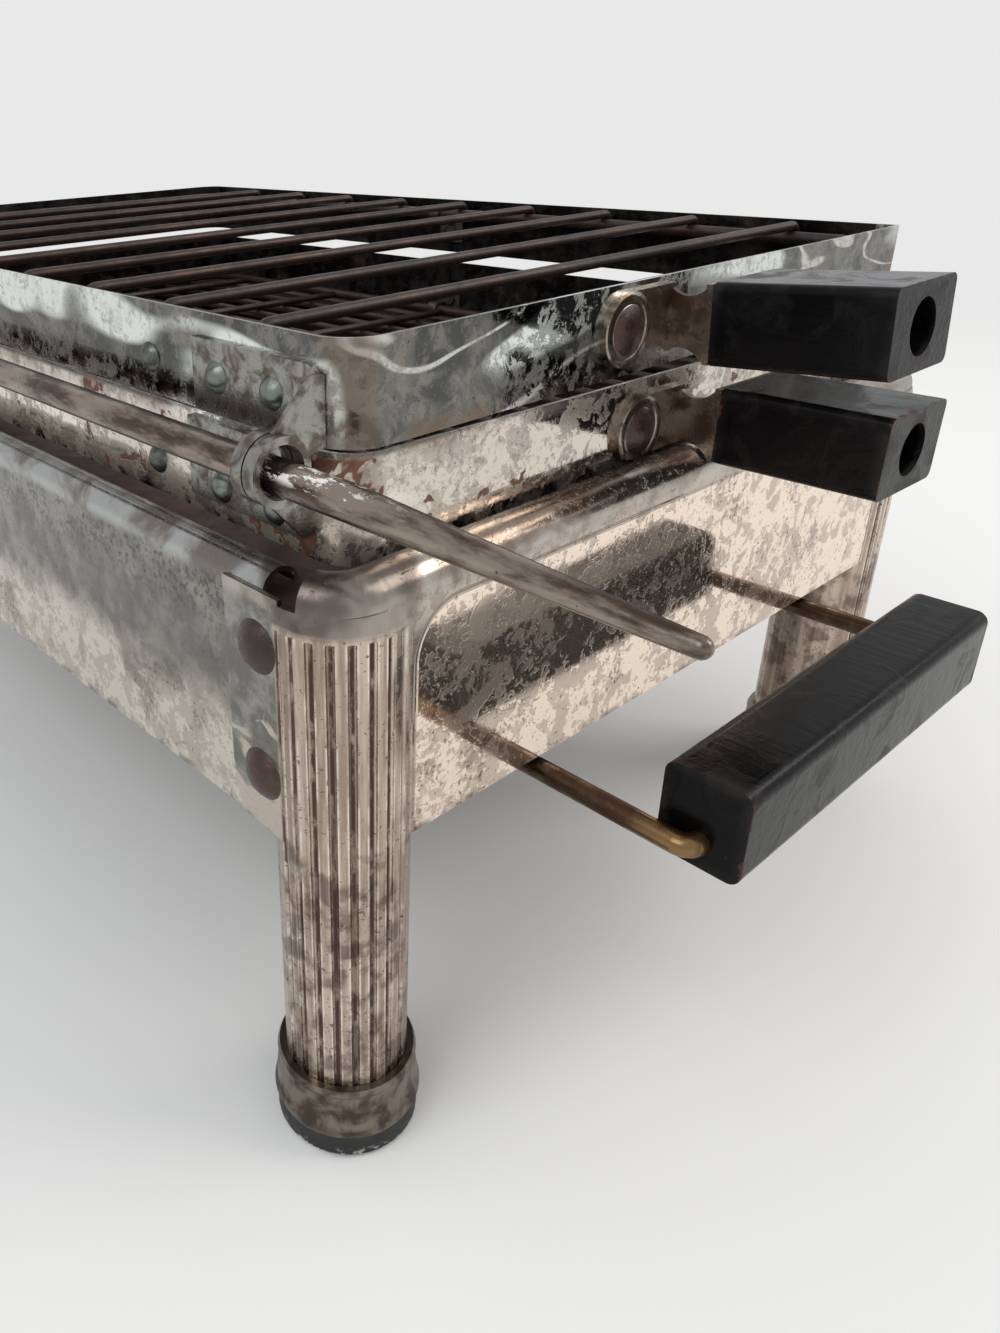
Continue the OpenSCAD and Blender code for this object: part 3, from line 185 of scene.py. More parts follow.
class Finish(Tree):
    """A material with one shader, built from values."""

    def __init__(self, name):
        self.material = bpy.data.materials.new(name)
        self.material.use_nodes = True
        super().__init__(self.material.node_tree)
        surface = self.node("BsdfPrincipled", {}, {})
        self.shader = surface.socket.node
        self.node("OutputMaterial", {}, {"Surface": surface})
        self.place = self.node("TexCoord", {}, {}, "Object")

    def xyz(self):
        """The three Object coordinates as values."""
        split = self.node("SeparateXYZ", {}, {0: self.place}).socket.node
        return [Val(self, out) for out in split.outputs]

    def stretched(self, x, y, z):
        """Object coordinates scaled along each axis, for streaks and grain."""
        return self.node("VectorMath", {"operation": "MULTIPLY"}, {0: self.place, 1: (x, y, z)})

    def noise(self, size, detail=4.0, rough=0.55, at=None, warp=0.0):
        """Cloudy noise, 0 to 1, whose blotches are about size metres across."""
        return self.node("TexNoise", {}, {
            "Vector": at or self.place, "Scale": 1 / size, "Detail": detail,
            "Roughness": rough, "Distortion": warp})

    def cells(self, size, at):
        """Distance to the nearest of scattered points, about size metres apart."""
        return self.node("TexVoronoi", {}, {"Vector": at, "Scale": 1 / size})

    def mix(self, first, second, share):
        """Colour that goes from first to second as share goes from 0 to 1."""
        return self.node("Mix", {"data_type": "RGBA"}, {0: share, 6: first, 7: second}, 2)

    def bump(self, height, depth, strength):
        """Normal for a height that runs from 0 to 1 over depth metres."""
        self.put(self.shader.inputs["Normal"], self.node(
            "Bump", {}, {"Strength": strength, "Distance": depth, "Height": height}))

    def set(self, **values):
        """Values of the shader's own sockets, named with _ for a space."""
        for key, value in values.items():
            self.put(self.shader.inputs[key.replace("_", " ")], value)


# Finishes

CREAM = paint(243, 225, 209)
INSIDE_DARK = paint(30, 27, 26)
PIT = paint(58, 44, 38)
DARK_RUST = paint(58, 38, 31)
LACQUER = paint(8, 7, 8)


def speckle(f, size, amount, seed):
    """Small dark pits: scattered cells of a random size, thicker where a broad noise is high."""
    shift = (seed, seed * 0.7, seed * 1.3)
    at = f.node("VectorMath", {"operation": "ADD"}, {0: f.place, 1: shift})
    crowd = f.noise(size * 9, 3.0, at=at)
    pit = f.cells(size, at) + f.noise(size * 0.6, 2.0, at=at) * 0.35
    return (crowd * amount - pit).rise(-0.02, 0.10)


def near_legs(x, y):
    """Distance from the nearest leg's axis, and from the middle of the nearest flute, seen from above."""
    centre = middle("heat_box")
    dx = abs(x - centre[0]) - LEG_AXIS[0]
    dy = abs(y - centre[1]) - LEG_AXIS[1]
    from_axis = (dx * dx + dy * dy).root()
    flute = (dy.turn_from(dx) - FIRST_FLUTE) / FLUTE_PITCH
    nearest = flute.nearest().top(0.0).low(FLUTES - 1.0)
    return from_axis, abs(flute - nearest) * (FLUTE_PITCH * LEG_R)


def leg_masks(x, y, z):
    """1 on the fluted legs, in their grooves, on the ridges beside these where a highlight is painted, and on
    the plain crown above.
    """
    from_axis, from_flute = near_legs(x, y)
    leg = from_axis.rise(LEG_R + 0.30 * MM, LEG_R + 0.12 * MM)
    leg = leg * z.rise(LEG_TOP_Z + 0.2 * MM, LEG_TOP_Z - 0.4 * MM)
    fluted = leg * z.rise(FLUTE_TOP_Z + 0.2 * MM, FLUTE_TOP_Z - 0.1 * MM)
    groove = fluted * from_flute.rise(0.50 * MM, 0.24 * MM)
    ridge_highlight = fluted * from_flute.rise(0.40 * MM, 0.75 * MM) * from_flute.rise(1.10 * MM, 0.80 * MM)
    crown = from_axis.rise(LEG_R + 1.4 * MM, LEG_R - 0.4 * MM)
    crown = crown * z.rise(FLUTE_TOP_Z + 0.2 * MM, LEG_TOP_Z + 0.4 * MM)
    return SimpleNamespace(leg=leg, groove=groove, ridge_highlight=ridge_highlight, crown=crown)


def flange_mask(x, legs):
    """1 on what lies as far out as the end panels' side flanges."""
    out = abs(x - middle("heat_box")[0]) - (LEG_AXIS[0] + LEG_R)
    return out.rise(-0.9 * MM, -0.5 * MM) * (1.0 - legs.leg)


def field_masks(x, z, legs):
    """1 on the border round the end panels' field, a rectangle with round corners, and on its thin crease."""
    field_half_x = half("heat_box")[0] - FIELD_INSET
    past_x = (abs(x - middle("heat_box")[0]) - (field_half_x - FIELD_CORNER_R)).top(0.0)
    past_z = (abs(z - FIELD_Z) - (FIELD_HALF_Z - FIELD_CORNER_R)).top(0.0)
    past = (past_x * past_x + past_z * past_z).root() - FIELD_CORNER_R
    off_leg = 1.0 - legs.leg
    return past.rise(-0.1 * MM, 0.5 * MM) * off_leg, abs(past).rise(0.55 * MM, 0.10 * MM) * off_leg


def base_wear(f):
    """Clouds of three sizes in the base's plating, and 1 on its dull haze, small pits and large scars."""
    broad = f.noise(46 * MM, 3.0, 0.5, warp=0.8)
    middling = f.noise(14 * MM, 4.0, 0.6, warp=0.6)
    fine = f.noise(1.2 * MM, 4.0, 0.65)
    islands = (f.noise(5.5 * MM, 5.0, 0.62, warp=0.4) + broad * 0.5).rise(0.79, 0.83)
    flecks = (f.noise(2.2 * MM, 3.5, 0.60, warp=0.3) + middling * 0.35).rise(0.715, 0.75)
    pits = (f.noise(0.9 * MM, 4.0, 0.75, warp=0.3) + middling * 0.30).rise(0.775, 0.80)
    scars = (f.noise(3.6 * MM, 6.0, 0.75, warp=0.8) + f.noise(30 * MM, 2.0) * 0.4).rise(0.885, 0.905)
    haze = islands.top(flecks * 0.9)
    return SimpleNamespace(broad=broad, middling=middling, fine=fine, haze=haze, pits=pits, scars=scars)


def hazed(f, bright, wear):
    """Bright plating under its haze, with brown stains."""
    colour = f.mix(bright, paint(168, 153, 139), wear.haze * 0.6)
    stain = (wear.middling + wear.fine * 0.5).rise(0.84, 0.92)
    return f.mix(colour, paint(120, 98, 84), stain * 0.45)


def base_plating(f, z, wear, legs, colour, smooth, crease=0.0):
    """Lays the legs, pits and rust over a panel's colour and sets its shader."""
    # legs: brown-grey, streaked along their length, with painted highlight lines on the ridges beside the
    # grooves
    streak = f.noise(1.0, 5.0, 0.65, at=f.stretched(520, 520, 30)).rise(0.38, 0.62)
    smudge = f.noise(15 * MM, 3.0).rise(0.42, 0.60)
    leg_colour = f.mix(paint(198, 182, 168), paint(146, 126, 111), streak * 0.8)
    # painted highlight along the ridges beside the grooves
    leg_colour = f.mix(leg_colour, paint(232, 222, 210), legs.ridge_highlight * f.noise(9 * MM, 4.0).rise(0.42, 0.58))
    leg_colour = f.mix(leg_colour, paint(112, 88, 75), smudge * 0.16)
    colour = f.mix(colour, leg_colour, legs.leg)
    colour = f.mix(colour, f.mix(paint(168, 160, 152), paint(84, 76, 72), smudge), legs.crown * 0.80)
    # pits and scars, which smooth metal has few of, then rust in the grooves and along the lower edge
    colour = f.mix(colour, paint(84, 66, 57), wear.pits * (0.8 - smooth * 0.8))
    colour = f.mix(colour, PIT, wear.scars * (0.75 - smooth * 0.7))
    broken = f.noise(1.0, 5.0, 0.7, at=f.stretched(300, 300, 110)).rise(0.38, 0.52)
    rusty = legs.groove * (0.30 + broken * 0.70)
    colour = f.mix(colour, paint(74, 47, 38), rusty)
    lower_edge = z.rise(SHEET_LOW_Z + 0.8 * MM, SHEET_LOW_Z - 0.8 * MM)
    colour = f.mix(colour, DARK_RUST, f.noise(5 * MM, 4.0).rise(0.45, 0.62) * lower_edge * 0.6)
    bad = wear.pits.top(wear.scars).top(rusty)
    dull = wear.haze * 0.07 + bad * 0.30 + legs.leg * 0.18 + legs.crown * 0.10 + smooth * 0.14
    f.set(Base_Color=colour, Metallic=0.95 - bad * 0.55 - wear.haze * 0.20 * (1.0 - smooth),
          Roughness=0.045 + dull)
    f.bump(wear.fine * 0.10 + wear.haze * 0.10 - wear.pits * 0.6 - wear.scars * 0.8 + wear.broad * 1.5
           + streak * legs.leg * 0.3 - crease * 1.6, 0.10 * MM, 0.7)
    return f.material


def end_panel_plating():
    """Pitted cream plating with a smooth grey border round its field, a darker line of painted shade in its
    crease, grey flanges that carry a painted dark reflection, and a brownish roll.
    """
    f = Finish("pitted end panel plating")
    x, y, z = f.xyz()
    wear = base_wear(f)
    legs = leg_masks(x, y, z)
    border, crease = field_masks(x, z, legs)
    flange = flange_mask(x, legs)
    rolled = z.rise(ROLL_Z - 1.0 * MM, ROLL_Z + 1.0 * MM)
    colour = hazed(f, CREAM, wear)
    colour = f.mix(colour, paint(160, 152, 143), border * 0.70)
    # flanges: two greys of painted dark reflection, and cream about the lower rivet and lower down
    grey = f.mix(paint(156, 154, 147), paint(112, 111, 105), f.noise(7 * MM, 5.0, 0.65).rise(0.40, 0.60))
    patch = (f.noise(11 * MM, 4.0, 0.6, warp=0.8) + z.rise(94 * MM, 72 * MM) * 0.26).rise(0.60, 0.66)
    colour = f.mix(colour, f.mix(grey, paint(204, 192, 178), patch), flange * 0.95)
    # the crease: a thin darker line, painted shade in the fold
    colour = f.mix(colour, paint(96, 86, 78), crease * 0.55)
    # roll: satin, with brown heat tint only on its top
    satin = f.mix(paint(186, 180, 172), paint(132, 116, 104), wear.middling.rise(0.40, 0.62))
    colour = f.mix(colour, satin, rolled * 0.85)
    tint = z.rise(ROLL_Z + 1.6 * MM, ROLL_Z + 5.4 * MM) * f.noise(20 * MM, 4.0).rise(0.34, 0.60)
    colour = f.mix(colour, paint(150, 120, 100), tint * 0.40)
    smooth = (border.top(flange) * 0.75).top(rolled)
    return base_plating(f, z, wear, legs, colour, smooth, crease)


def side_sheet_plating():
    """Mottled plating of the side sheets: a painted dark reflection, stippled, below a silver roll, paler
    further down.
    """
    f = Finish("mottled side panel plating")
    x, y, z = f.xyz()
    wear = base_wear(f)
    legs = leg_masks(x, y, z)
    rolled = z.rise(ROLL_Z - 1.0 * MM, ROLL_Z + 1.0 * MM)
    colour = hazed(f, paint(218, 212, 200), wear)
    # painted dark reflection: a dusky band below the roll, its lower edge waved by noise, paler further down
    upper = (z + wear.middling * (18 * MM) + wear.broad * (10 * MM)).rise(91 * MM, 103 * MM)
    side_dark_reflection = f.mix(paint(88, 87, 83), paint(134, 131, 124), f.noise(9 * MM, 5.0, 0.6).rise(0.40, 0.62))
    stipple = upper * z.rise(92 * MM, 102 * MM) * wear.fine.rise(0.50, 0.60)
    colour = f.mix(colour, side_dark_reflection, upper * 0.85)
    colour = f.mix(colour, paint(62, 60, 56), stipple * 0.6)
    tarnish = f.noise(8 * MM, 6.0, 0.7, warp=0.7).rise(0.54, 0.62)
    colour = f.mix(colour, paint(140, 138, 128), tarnish * 0.45)
    silver = f.mix(paint(178, 180, 178), paint(122, 116, 110), wear.middling.rise(0.42, 0.62))
    colour = f.mix(colour, silver, rolled * 0.9)
    smooth = (flange_mask(x, legs) * 0.75).top(rolled)
    return base_plating(f, z, wear, legs, colour, smooth)


def frame_plating():
    """Plating of the basket's strips: smooth and half covered by a painted dark reflection above, with
    painted highlight lines, cream and mottled below with a fainter painted reflection, dark inside.
    """
    f = Finish("basket plating")
    x, y, z = f.xyz()
    upper_wall, wall_half = middle("upper_frame_wall"), half("upper_frame_wall")
    upper_z, lower_z = upper_wall[2], middle("lower_frame_wall")[2]
    parting_z = (lower_z + upper_z) / 2
    # distance outside the frame's plan, a rectangle with round corners
    past_x = (abs(x - upper_wall[0]) - (wall_half[0] - FRAME_CORNER_R)).top(0.0)
    past_y = (abs(y - upper_wall[1]) - (wall_half[1] - FRAME_CORNER_R)).top(0.0)
    from_bend = (past_x * past_x + past_y * past_y).root()
    outside = (from_bend - FRAME_CORNER_R).rise(-0.66 * MM, -0.50 * MM)
    corner = from_bend.rise(4.6 * MM, 6.8 * MM) * (past_x * past_y).rise(0.0, 18 * MM * MM)
    on_end = abs(y - upper_wall[1]).rise(wall_half[1] - 5 * MM, wall_half[1] - 1 * MM)
    upper = z.rise(parting_z - 0.5 * MM, parting_z + 0.5 * MM)
    # painted reflection on the strips: long soft shapes, a painted dark reflection on one side of their edge
    # and a thin painted highlight line on the other; it covers more low on the upper wall and on the end
    # walls
    wave = f.noise(34 * MM, 2.0, 0.5, warp=0.6)
    cloud = f.noise(13 * MM, 6.0, 0.62, warp=1.1)
    reflection_shapes = f.noise(1.0, 1.5, 0.4, at=f.stretched(15, 15, 48), warp=0.9)
    below = z.rise(upper_z + 2.0 * MM, upper_z - 2.5 * MM)
    reflection_level = reflection_shapes + below * 0.05 + on_end * 0.05
    dark = (reflection_level + on_end * 0.04).rise(0.50, 0.55) * (0.26 + upper * 0.70)
    glint = abs(reflection_level - 0.62).rise(0.016, 0.005) * upper * on_end
    mottle = (f.noise(3.4 * MM, 7.0, 0.70, warp=0.4) + cloud * 0.5).rise(0.745, 0.81)
    flecks = (f.noise(1.5 * MM, 5.0, 0.70) + cloud * 0.4).rise(0.735, 0.78)
    spots = (f.noise(1.0 * MM, 4.0, 0.75) + cloud * 0.3).rise(0.80, 0.82)
    blot = (f.noise(11 * MM, 4.0, 0.62, warp=0.5) + f.noise(60 * MM, 1.0) * 0.3).rise(0.775, 0.79)
    blot = blot * (1.0 - upper)
    # brown along the foot of both walls and in the bent corners
    lower_foot = z.rise(lower_z - 2 * MM, lower_z - 6.5 * MM)
    upper_foot = z.rise(upper_z - 4 * MM, upper_z - 7.6 * MM) * z.rise(upper_z - 12 * MM, upper_z - 9 * MM)
    brown = lower_foot.top(upper_foot) * f.noise(7 * MM, 5.0, 0.65).rise(0.40, 0.60) * 0.8
    brown = brown.top(corner * 0.55)
    clean = f.mix(f.mix(paint(222, 224, 220), CREAM, 0.6), paint(228, 233, 228), upper)
    dark_reflection_tone = f.mix(paint(66, 66, 64), paint(104, 104, 100), cloud.rise(0.40, 0.60))
    # painted dark reflection, strong on the upper strip and faint on the lower, then its painted highlight
    # line
    colour = f.mix(clean, f.mix(paint(112, 104, 96), dark_reflection_tone, upper), dark)
    colour = f.mix(colour, paint(226, 224, 216), glint * 0.8)
    colour = f.mix(colour, paint(168, 160, 148), mottle * (0.55 - upper * 0.30))
    colour = f.mix(colour, paint(132, 124, 114), flecks * 0.40)
    colour = f.mix(colour, paint(122, 98, 80), brown * 0.72)
    colour = f.mix(colour, paint(104, 58, 36), blot * 0.9)
    colour = f.mix(colour, PIT, spots * 0.6)
    # inside faces: near black, darker than the outside
    inside_dark = f.mix(INSIDE_DARK, paint(62, 55, 51), f.noise(14 * MM, 4.0).rise(0.48, 0.70))
    colour = f.mix(inside_dark, colour, outside)
    bad = spots.top(blot).top(brown * 0.6)
    f.set(Base_Color=colour, Metallic=1.0 - bad * 0.5 - mottle * 0.25,
          Roughness=0.07 + mottle * 0.20 + flecks * 0.12 + bad * 0.26 + (1 - outside) * 0.36)
    f.bump(wave * 4.0 + cloud * 0.4 - bad * 0.5 + mottle * 0.10, 0.12 * MM, 0.8)
    return f.material


def rusted(name, light, dark, size, metal, rough, depth=0.25 * MM):
    """Rusty iron: two browns in a fine crust."""
    f = Finish(name)
    crust = f.noise(size, 6.0, 0.68, warp=0.4)
    broad = f.noise(size * 5, 3.0)
    share = (crust * 0.7 + broad * 0.5).rise(0.42, 0.78)
    grain = f.noise(size * 0.28, 3.0, 0.7)
    f.set(Base_Color=f.mix(dark, light, share), Metallic=metal * share + 0.1,
          Roughness=rough - share * 0.15 + grain * 0.1)
    f.bump(crust * 0.7 + grain * 0.3, depth, 0.8)
    return f.material


def worn_steel(name, clean, dirty, size, rough):
    """Dull steel or brass: a clean tone under patches of a dirty one, with fine grain and rust specks."""
    f = Finish(name)
    patch = f.noise(size, 5.0, 0.6, warp=0.5).rise(0.40, 0.64)
    fine = f.noise(size * 0.15, 3.0, 0.6)
    spots = speckle(f, size * 0.5, 0.40, 0.41)
    colour = f.mix(clean, dirty, patch)
    colour = f.mix(colour, DARK_RUST, spots * 0.8)
    f.set(Base_Color=colour, Metallic=1.0 - spots * 0.6, Roughness=rough + patch * 0.18 + fine * 0.10)
    f.bump(fine * 0.5 - spots * 0.6 + patch * 0.15, 0.10 * MM, 0.7)
    return f.material


def lacquered_wood():
    """Black gloss lacquer on wood: fine grain, dull rubs, and brown wear broken along the edges."""
    f = Finish("black lacquered wood")
    x, y, z = f.xyz()

    def edge_of(node, inset):
        """1 on the long and end edges of a node's box: two of the three distances are small."""
        c, h = middle(node), half(node)
        gap = [h[i] - abs(v - c[i]) for i, v in enumerate((x, y, z))]
        near = [g.rise(inset, 0.0) for g in gap]
        inside = gap[0].low(gap[1]).low(gap[2]).rise(-0.6 * MM, -0.1 * MM)
        pairs = (near[0] * near[1]).top(near[1] * near[2]).top(near[0] * near[2])
        return pairs * inside

    def rim_of(node):
        """1 round the mouth of the hole in a block's front face."""
        c, h = middle(node), half(node)
        dx, dz = x - c[0], z - c[2]
        ring = (dx * dx + dz * dz).root().rise(5.8 * MM, 4.7 * MM)
        return ring * (y - c[1]).rise(1.4 * MM - h[1], 0.5 * MM - h[1])

    upper_block, lower_block = "upper_handle_block", "lower_handle_block"
    edges = edge_of("tray_handle_bar", 2.6 * MM)
    edges = edges.top(edge_of(upper_block, 2.4 * MM)).top(edge_of(lower_block, 2.4 * MM))
    rims = rim_of(upper_block).top(rim_of(lower_block))
    wear = f.noise(1.0, 5.0, 0.7, at=f.stretched(260, 90, 260))
    rub = f.noise(9 * MM, 5.0, 0.62, warp=0.8).rise(0.48, 0.66)
    dull_edge = (edges * 0.9 + rims) * (0.4 + rub * 0.6)
    chipped = (edges * 0.55 + wear - 1.08).rise(0.0, 0.10)
    grain = f.noise(1.0, 5.0, 0.6, at=f.stretched(700, 60, 700))
    dents = speckle(f, 3.4 * MM, 0.34, 0.9)
    colour = f.mix(LACQUER, paint(20, 18, 18), rub)
    colour = f.mix(colour, paint(54, 49, 48), dull_edge * 0.6)
    colour = f.mix(colour, paint(96, 52, 42), chipped * 0.85)
    colour = f.mix(colour, paint(132, 104, 78), dents * 0.35)
    f.set(Base_Color=colour, Metallic=0.0, Roughness=0.16 + rub * 0.20 + dull_edge * 0.15 + chipped * 0.3)
    f.set(Specular_IOR_Level=0.12)
    f.bump(grain * 0.5 + wear * 0.35 + rub * 0.2 - chipped * 0.4 - dents * 0.6, 0.25 * MM, 0.6)
    return f.material


def hinge_rod_steel():
    """Brown-grey rod, brighter where rubbed, with white chips of plating in front of the eye."""
    f = Finish("hinge rod steel")
    _, y, z = f.xyz()
    eye_y = middle("upper_hinge_leaf_front")[1]
    patch = f.noise(4 * MM, 6.0, 0.66, at=f.stretched(1, 0.22, 1)).rise(0.40, 0.60)
    grain = f.noise(1.2 * MM, 3.0, 0.6)
    near = (eye_y - y).rise(6 * MM, 14 * MM) * (eye_y - y).rise(44 * MM, 26 * MM)
    chips = near * f.noise(2.6 * MM, 5.0, 0.75, at=f.stretched(1.7, 0.45, 1.7)).rise(0.56, 0.585)
    chips = chips * z.rise(HINGE_Z - 0.6 * MM, HINGE_Z + 0.6 * MM)
    speck = speckle(f, 1.5 * MM, 0.5, 0.17)
    colour = f.mix(paint(150, 137, 125), paint(78, 64, 55), patch)
    colour = f.mix(colour, paint(54, 40, 34), speck * 0.7)
    colour = f.mix(colour, paint(236, 232, 226), chips)
    f.set(Base_Color=colour, Metallic=0.95 - chips * 0.8, Roughness=0.17 + patch * 0.16 + speck * 0.2)
    f.bump(grain * 0.5 + chips * 0.6 - speck * 0.4, 0.10 * MM, 0.6)
    return f.material


def tinted_wire():
    """Olive-brown heat tint, golden at the front where it is partly a painted highlight, that darkens towards
    the tray.
    """
    f = Finish("heat tinted wire")
    _, y, _ = f.xyz()
    back = (y - middle("tray_handle_bar")[1]).rise(2 * MM, 16 * MM)
    blotch = f.noise(5 * MM, 5.0, 0.65).rise(0.40, 0.58)
    spots = speckle(f, 1.6 * MM, 0.45, 0.22)
    # golden at the front, partly heat tint and partly a painted highlight; darker towards the tray
    colour = f.mix(paint(134, 106, 72), paint(92, 80, 64), back)
    colour = f.mix(colour, paint(72, 48, 38), blotch * 0.75)
    colour = f.mix(colour, DARK_RUST, spots * 0.7)
    f.set(Base_Color=colour, Metallic=0.9 - spots * 0.5, Roughness=0.24 + blotch * 0.2 + spots * 0.2)
    f.bump(blotch * 0.3 - spots * 0.5, 0.08 * MM, 0.7)
    return f.material


def pressed_strap():
    """Brown-stained strap whose round end has a raised rim and a ring pressed round the rivet."""
    f = Finish("pressed strap")
    x, _, z = f.xyz()

    def relief(part):
        """1 on the raised rim and 0.7 on the ring of a strap's round end."""
        rivet, low = middle(part + "_strap_rivet"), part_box(part + "_strap")[0]
        end_r = rivet[0] - low[0]
        dx, dz = x - rivet[0], z - rivet[2]
        away = (dx * dx + dz * dz).root()
        outer = away.rise(end_r * 0.74, end_r * 0.84) * away.rise(end_r * 1.02, end_r * 0.90)
        ring = away.rise(end_r * 0.50, end_r * 0.56) * away.rise(end_r * 0.68, end_r * 0.62)
        return outer.top(ring * 0.7)

    rim = relief("upper").top(relief("lower"))
    patch = f.noise(6 * MM, 5.0, 0.62, warp=0.6).rise(0.42, 0.62)
    fine = f.noise(0.9 * MM, 4.0, 0.65)
    spots = speckle(f, 2.0 * MM, 0.46, 0.41)
    colour = f.mix(paint(166, 157, 148), paint(98, 79, 67), patch.top(0.40 - rim * 0.40))
    colour = f.mix(colour, DARK_RUST, spots * 0.8)
    f.set(Base_Color=colour, Metallic=1.0 - spots * 0.6, Roughness=0.20 + patch * 0.2 + spots * 0.2)
    f.bump(rim * 3.0 + fine * 0.4 - spots * 0.6, 0.16 * MM, 0.8)
    return f.material


def foot_rubber():
    """Black rubber, scuffed pale where it stands."""
    f = Finish("foot rubber")
    _, _, z = f.xyz()
    scuff = z.rise(3.0 * MM, 0.6 * MM) * f.noise(2.6 * MM, 5.0, 0.7).rise(0.52, 0.60)
    grain = f.noise(0.9 * MM, 3.0)
    colour = f.mix(paint(20, 19, 19), paint(44, 41, 40), f.noise(6 * MM, 4.0).rise(0.4, 0.7))
    colour = f.mix(colour, paint(196, 192, 186), scuff)
    f.set(Base_Color=colour, Metallic=0.0, Roughness=0.50 + grain * 0.2)
    f.bump(grain, 0.10 * MM, 0.6)
    return f.material


def fired_ceramic():
    """Unglazed white ceramic with brown heat stains."""
    f = Finish("fired ceramic")
    stain = f.noise(9 * MM, 5.0, 0.6).rise(0.44, 0.68)
    grain = f.noise(0.8 * MM, 3.0, 0.7)
    f.set(Base_Color=f.mix(paint(214, 206, 190), paint(150, 128, 104), stain), Metallic=0.0,
          Roughness=0.72 + grain * 0.12)
    f.bump(grain, 0.12 * MM, 0.6)
    return f.material


finishes = {
    "panel_chrome": end_panel_plating(),
    "side_chrome": side_sheet_plating(),
    "frame_chrome": frame_plating(),
    "rusty_rivet": rusted("rusty rivet", paint(90, 70, 64), paint(38, 29, 27), 1.8 * MM, 0.8, 0.32),
    "ferrule_zinc": worn_steel("dull zinc", paint(130, 121, 111), paint(78, 68, 60), 5 * MM, 0.28),
    "black_rubber": foot_rubber(),
    "rusty_sheet": rusted("rusty sheet", paint(88, 60, 46), paint(32, 26, 23), 6 * MM, 0.3, 0.6),
    "ceramic": fired_ceramic(),
    "heating_wire": worn_steel("oxidised heating wire", paint(112, 98, 86), paint(66, 54, 48), 5 * MM, 0.4),
    "brass": worn_steel("tarnished brass", paint(176, 138, 76), paint(98, 74, 46), 3 * MM, 0.3),
    "bare_steel": worn_steel("bare steel", paint(132, 122, 112), paint(82, 66, 56), 4 * MM, 0.36),
    "tray_tinplate": worn_steel("tray tinplate", paint(150, 144, 134), paint(88, 72, 58), 16 * MM, 0.34),
    "heat_tinted_wire": tinted_wire(),
    "black_wood": lacquered_wood(),
    "grid_wire": rusted("rusty grid wire", paint(76, 57, 47), paint(24, 21, 20), 4 * MM, 0.5, 0.44,
                        0.12 * MM),
    "leaf_steel": worn_steel("hinge leaf plating", paint(150, 149, 143), paint(98, 89, 80), 3 * MM, 0.14),
    "leaf_rivet": worn_steel("greenish rivet", paint(128, 134, 126), paint(86, 88, 80), 3 * MM, 0.28),
    "strap_steel": pressed_strap(),
    "rod_steel": hinge_rod_steel(),
}

slot_of = {entry["node"]: entry["material_slot"] for entry in frame["record"]["subparts"]}
for name, piece in nodes.items():
    piece.data.materials.clear()
    piece.data.materials.append(finishes[slot_of[name]])


# New pieces


def tube(path, across, up, radius, sides):
    """Closed tube: ring k holds path[k] + radius * (cos a * across[k] + sin a * up[k]) for all angles a."""
    angle = np.linspace(0, 2 * math.pi, sides, endpoint=False)
    ring = np.cos(angle)[None, :, None] * across[:, None, :] + np.sin(angle)[None, :, None] * up[:, None, :]
    points = (path[:, None, :] + radius * ring).reshape(-1, 3)
    rings = len(path)
    k, s = np.meshgrid(np.arange(rings - 1), np.arange(sides), indexing="ij")
    following = (s + 1) % sides
    corners = [k * sides + s, k * sides + following, (k + 1) * sides + following, (k + 1) * sides + s]
    faces = np.stack(corners, -1).reshape(-1, 4).tolist()
    faces.append(list(range(sides))[::-1])
    faces.append(list(range((rings - 1) * sides, rings * sides)))
    return points, faces


def new_piece(name, points, faces, material_slot, body):
    """Puts points and faces into a smooth mesh with a slot's finish, riding on a body."""
    mesh = bpy.data.meshes.new(name)
    mesh.from_pydata(points.tolist(), [], faces)
    mesh.materials.append(finishes[material_slot])
    mesh.shade_smooth()
    made = bpy.data.objects.new(name, mesh)
    bpy.context.scene.collection.objects.link(made)
    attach(made, body)
    return made


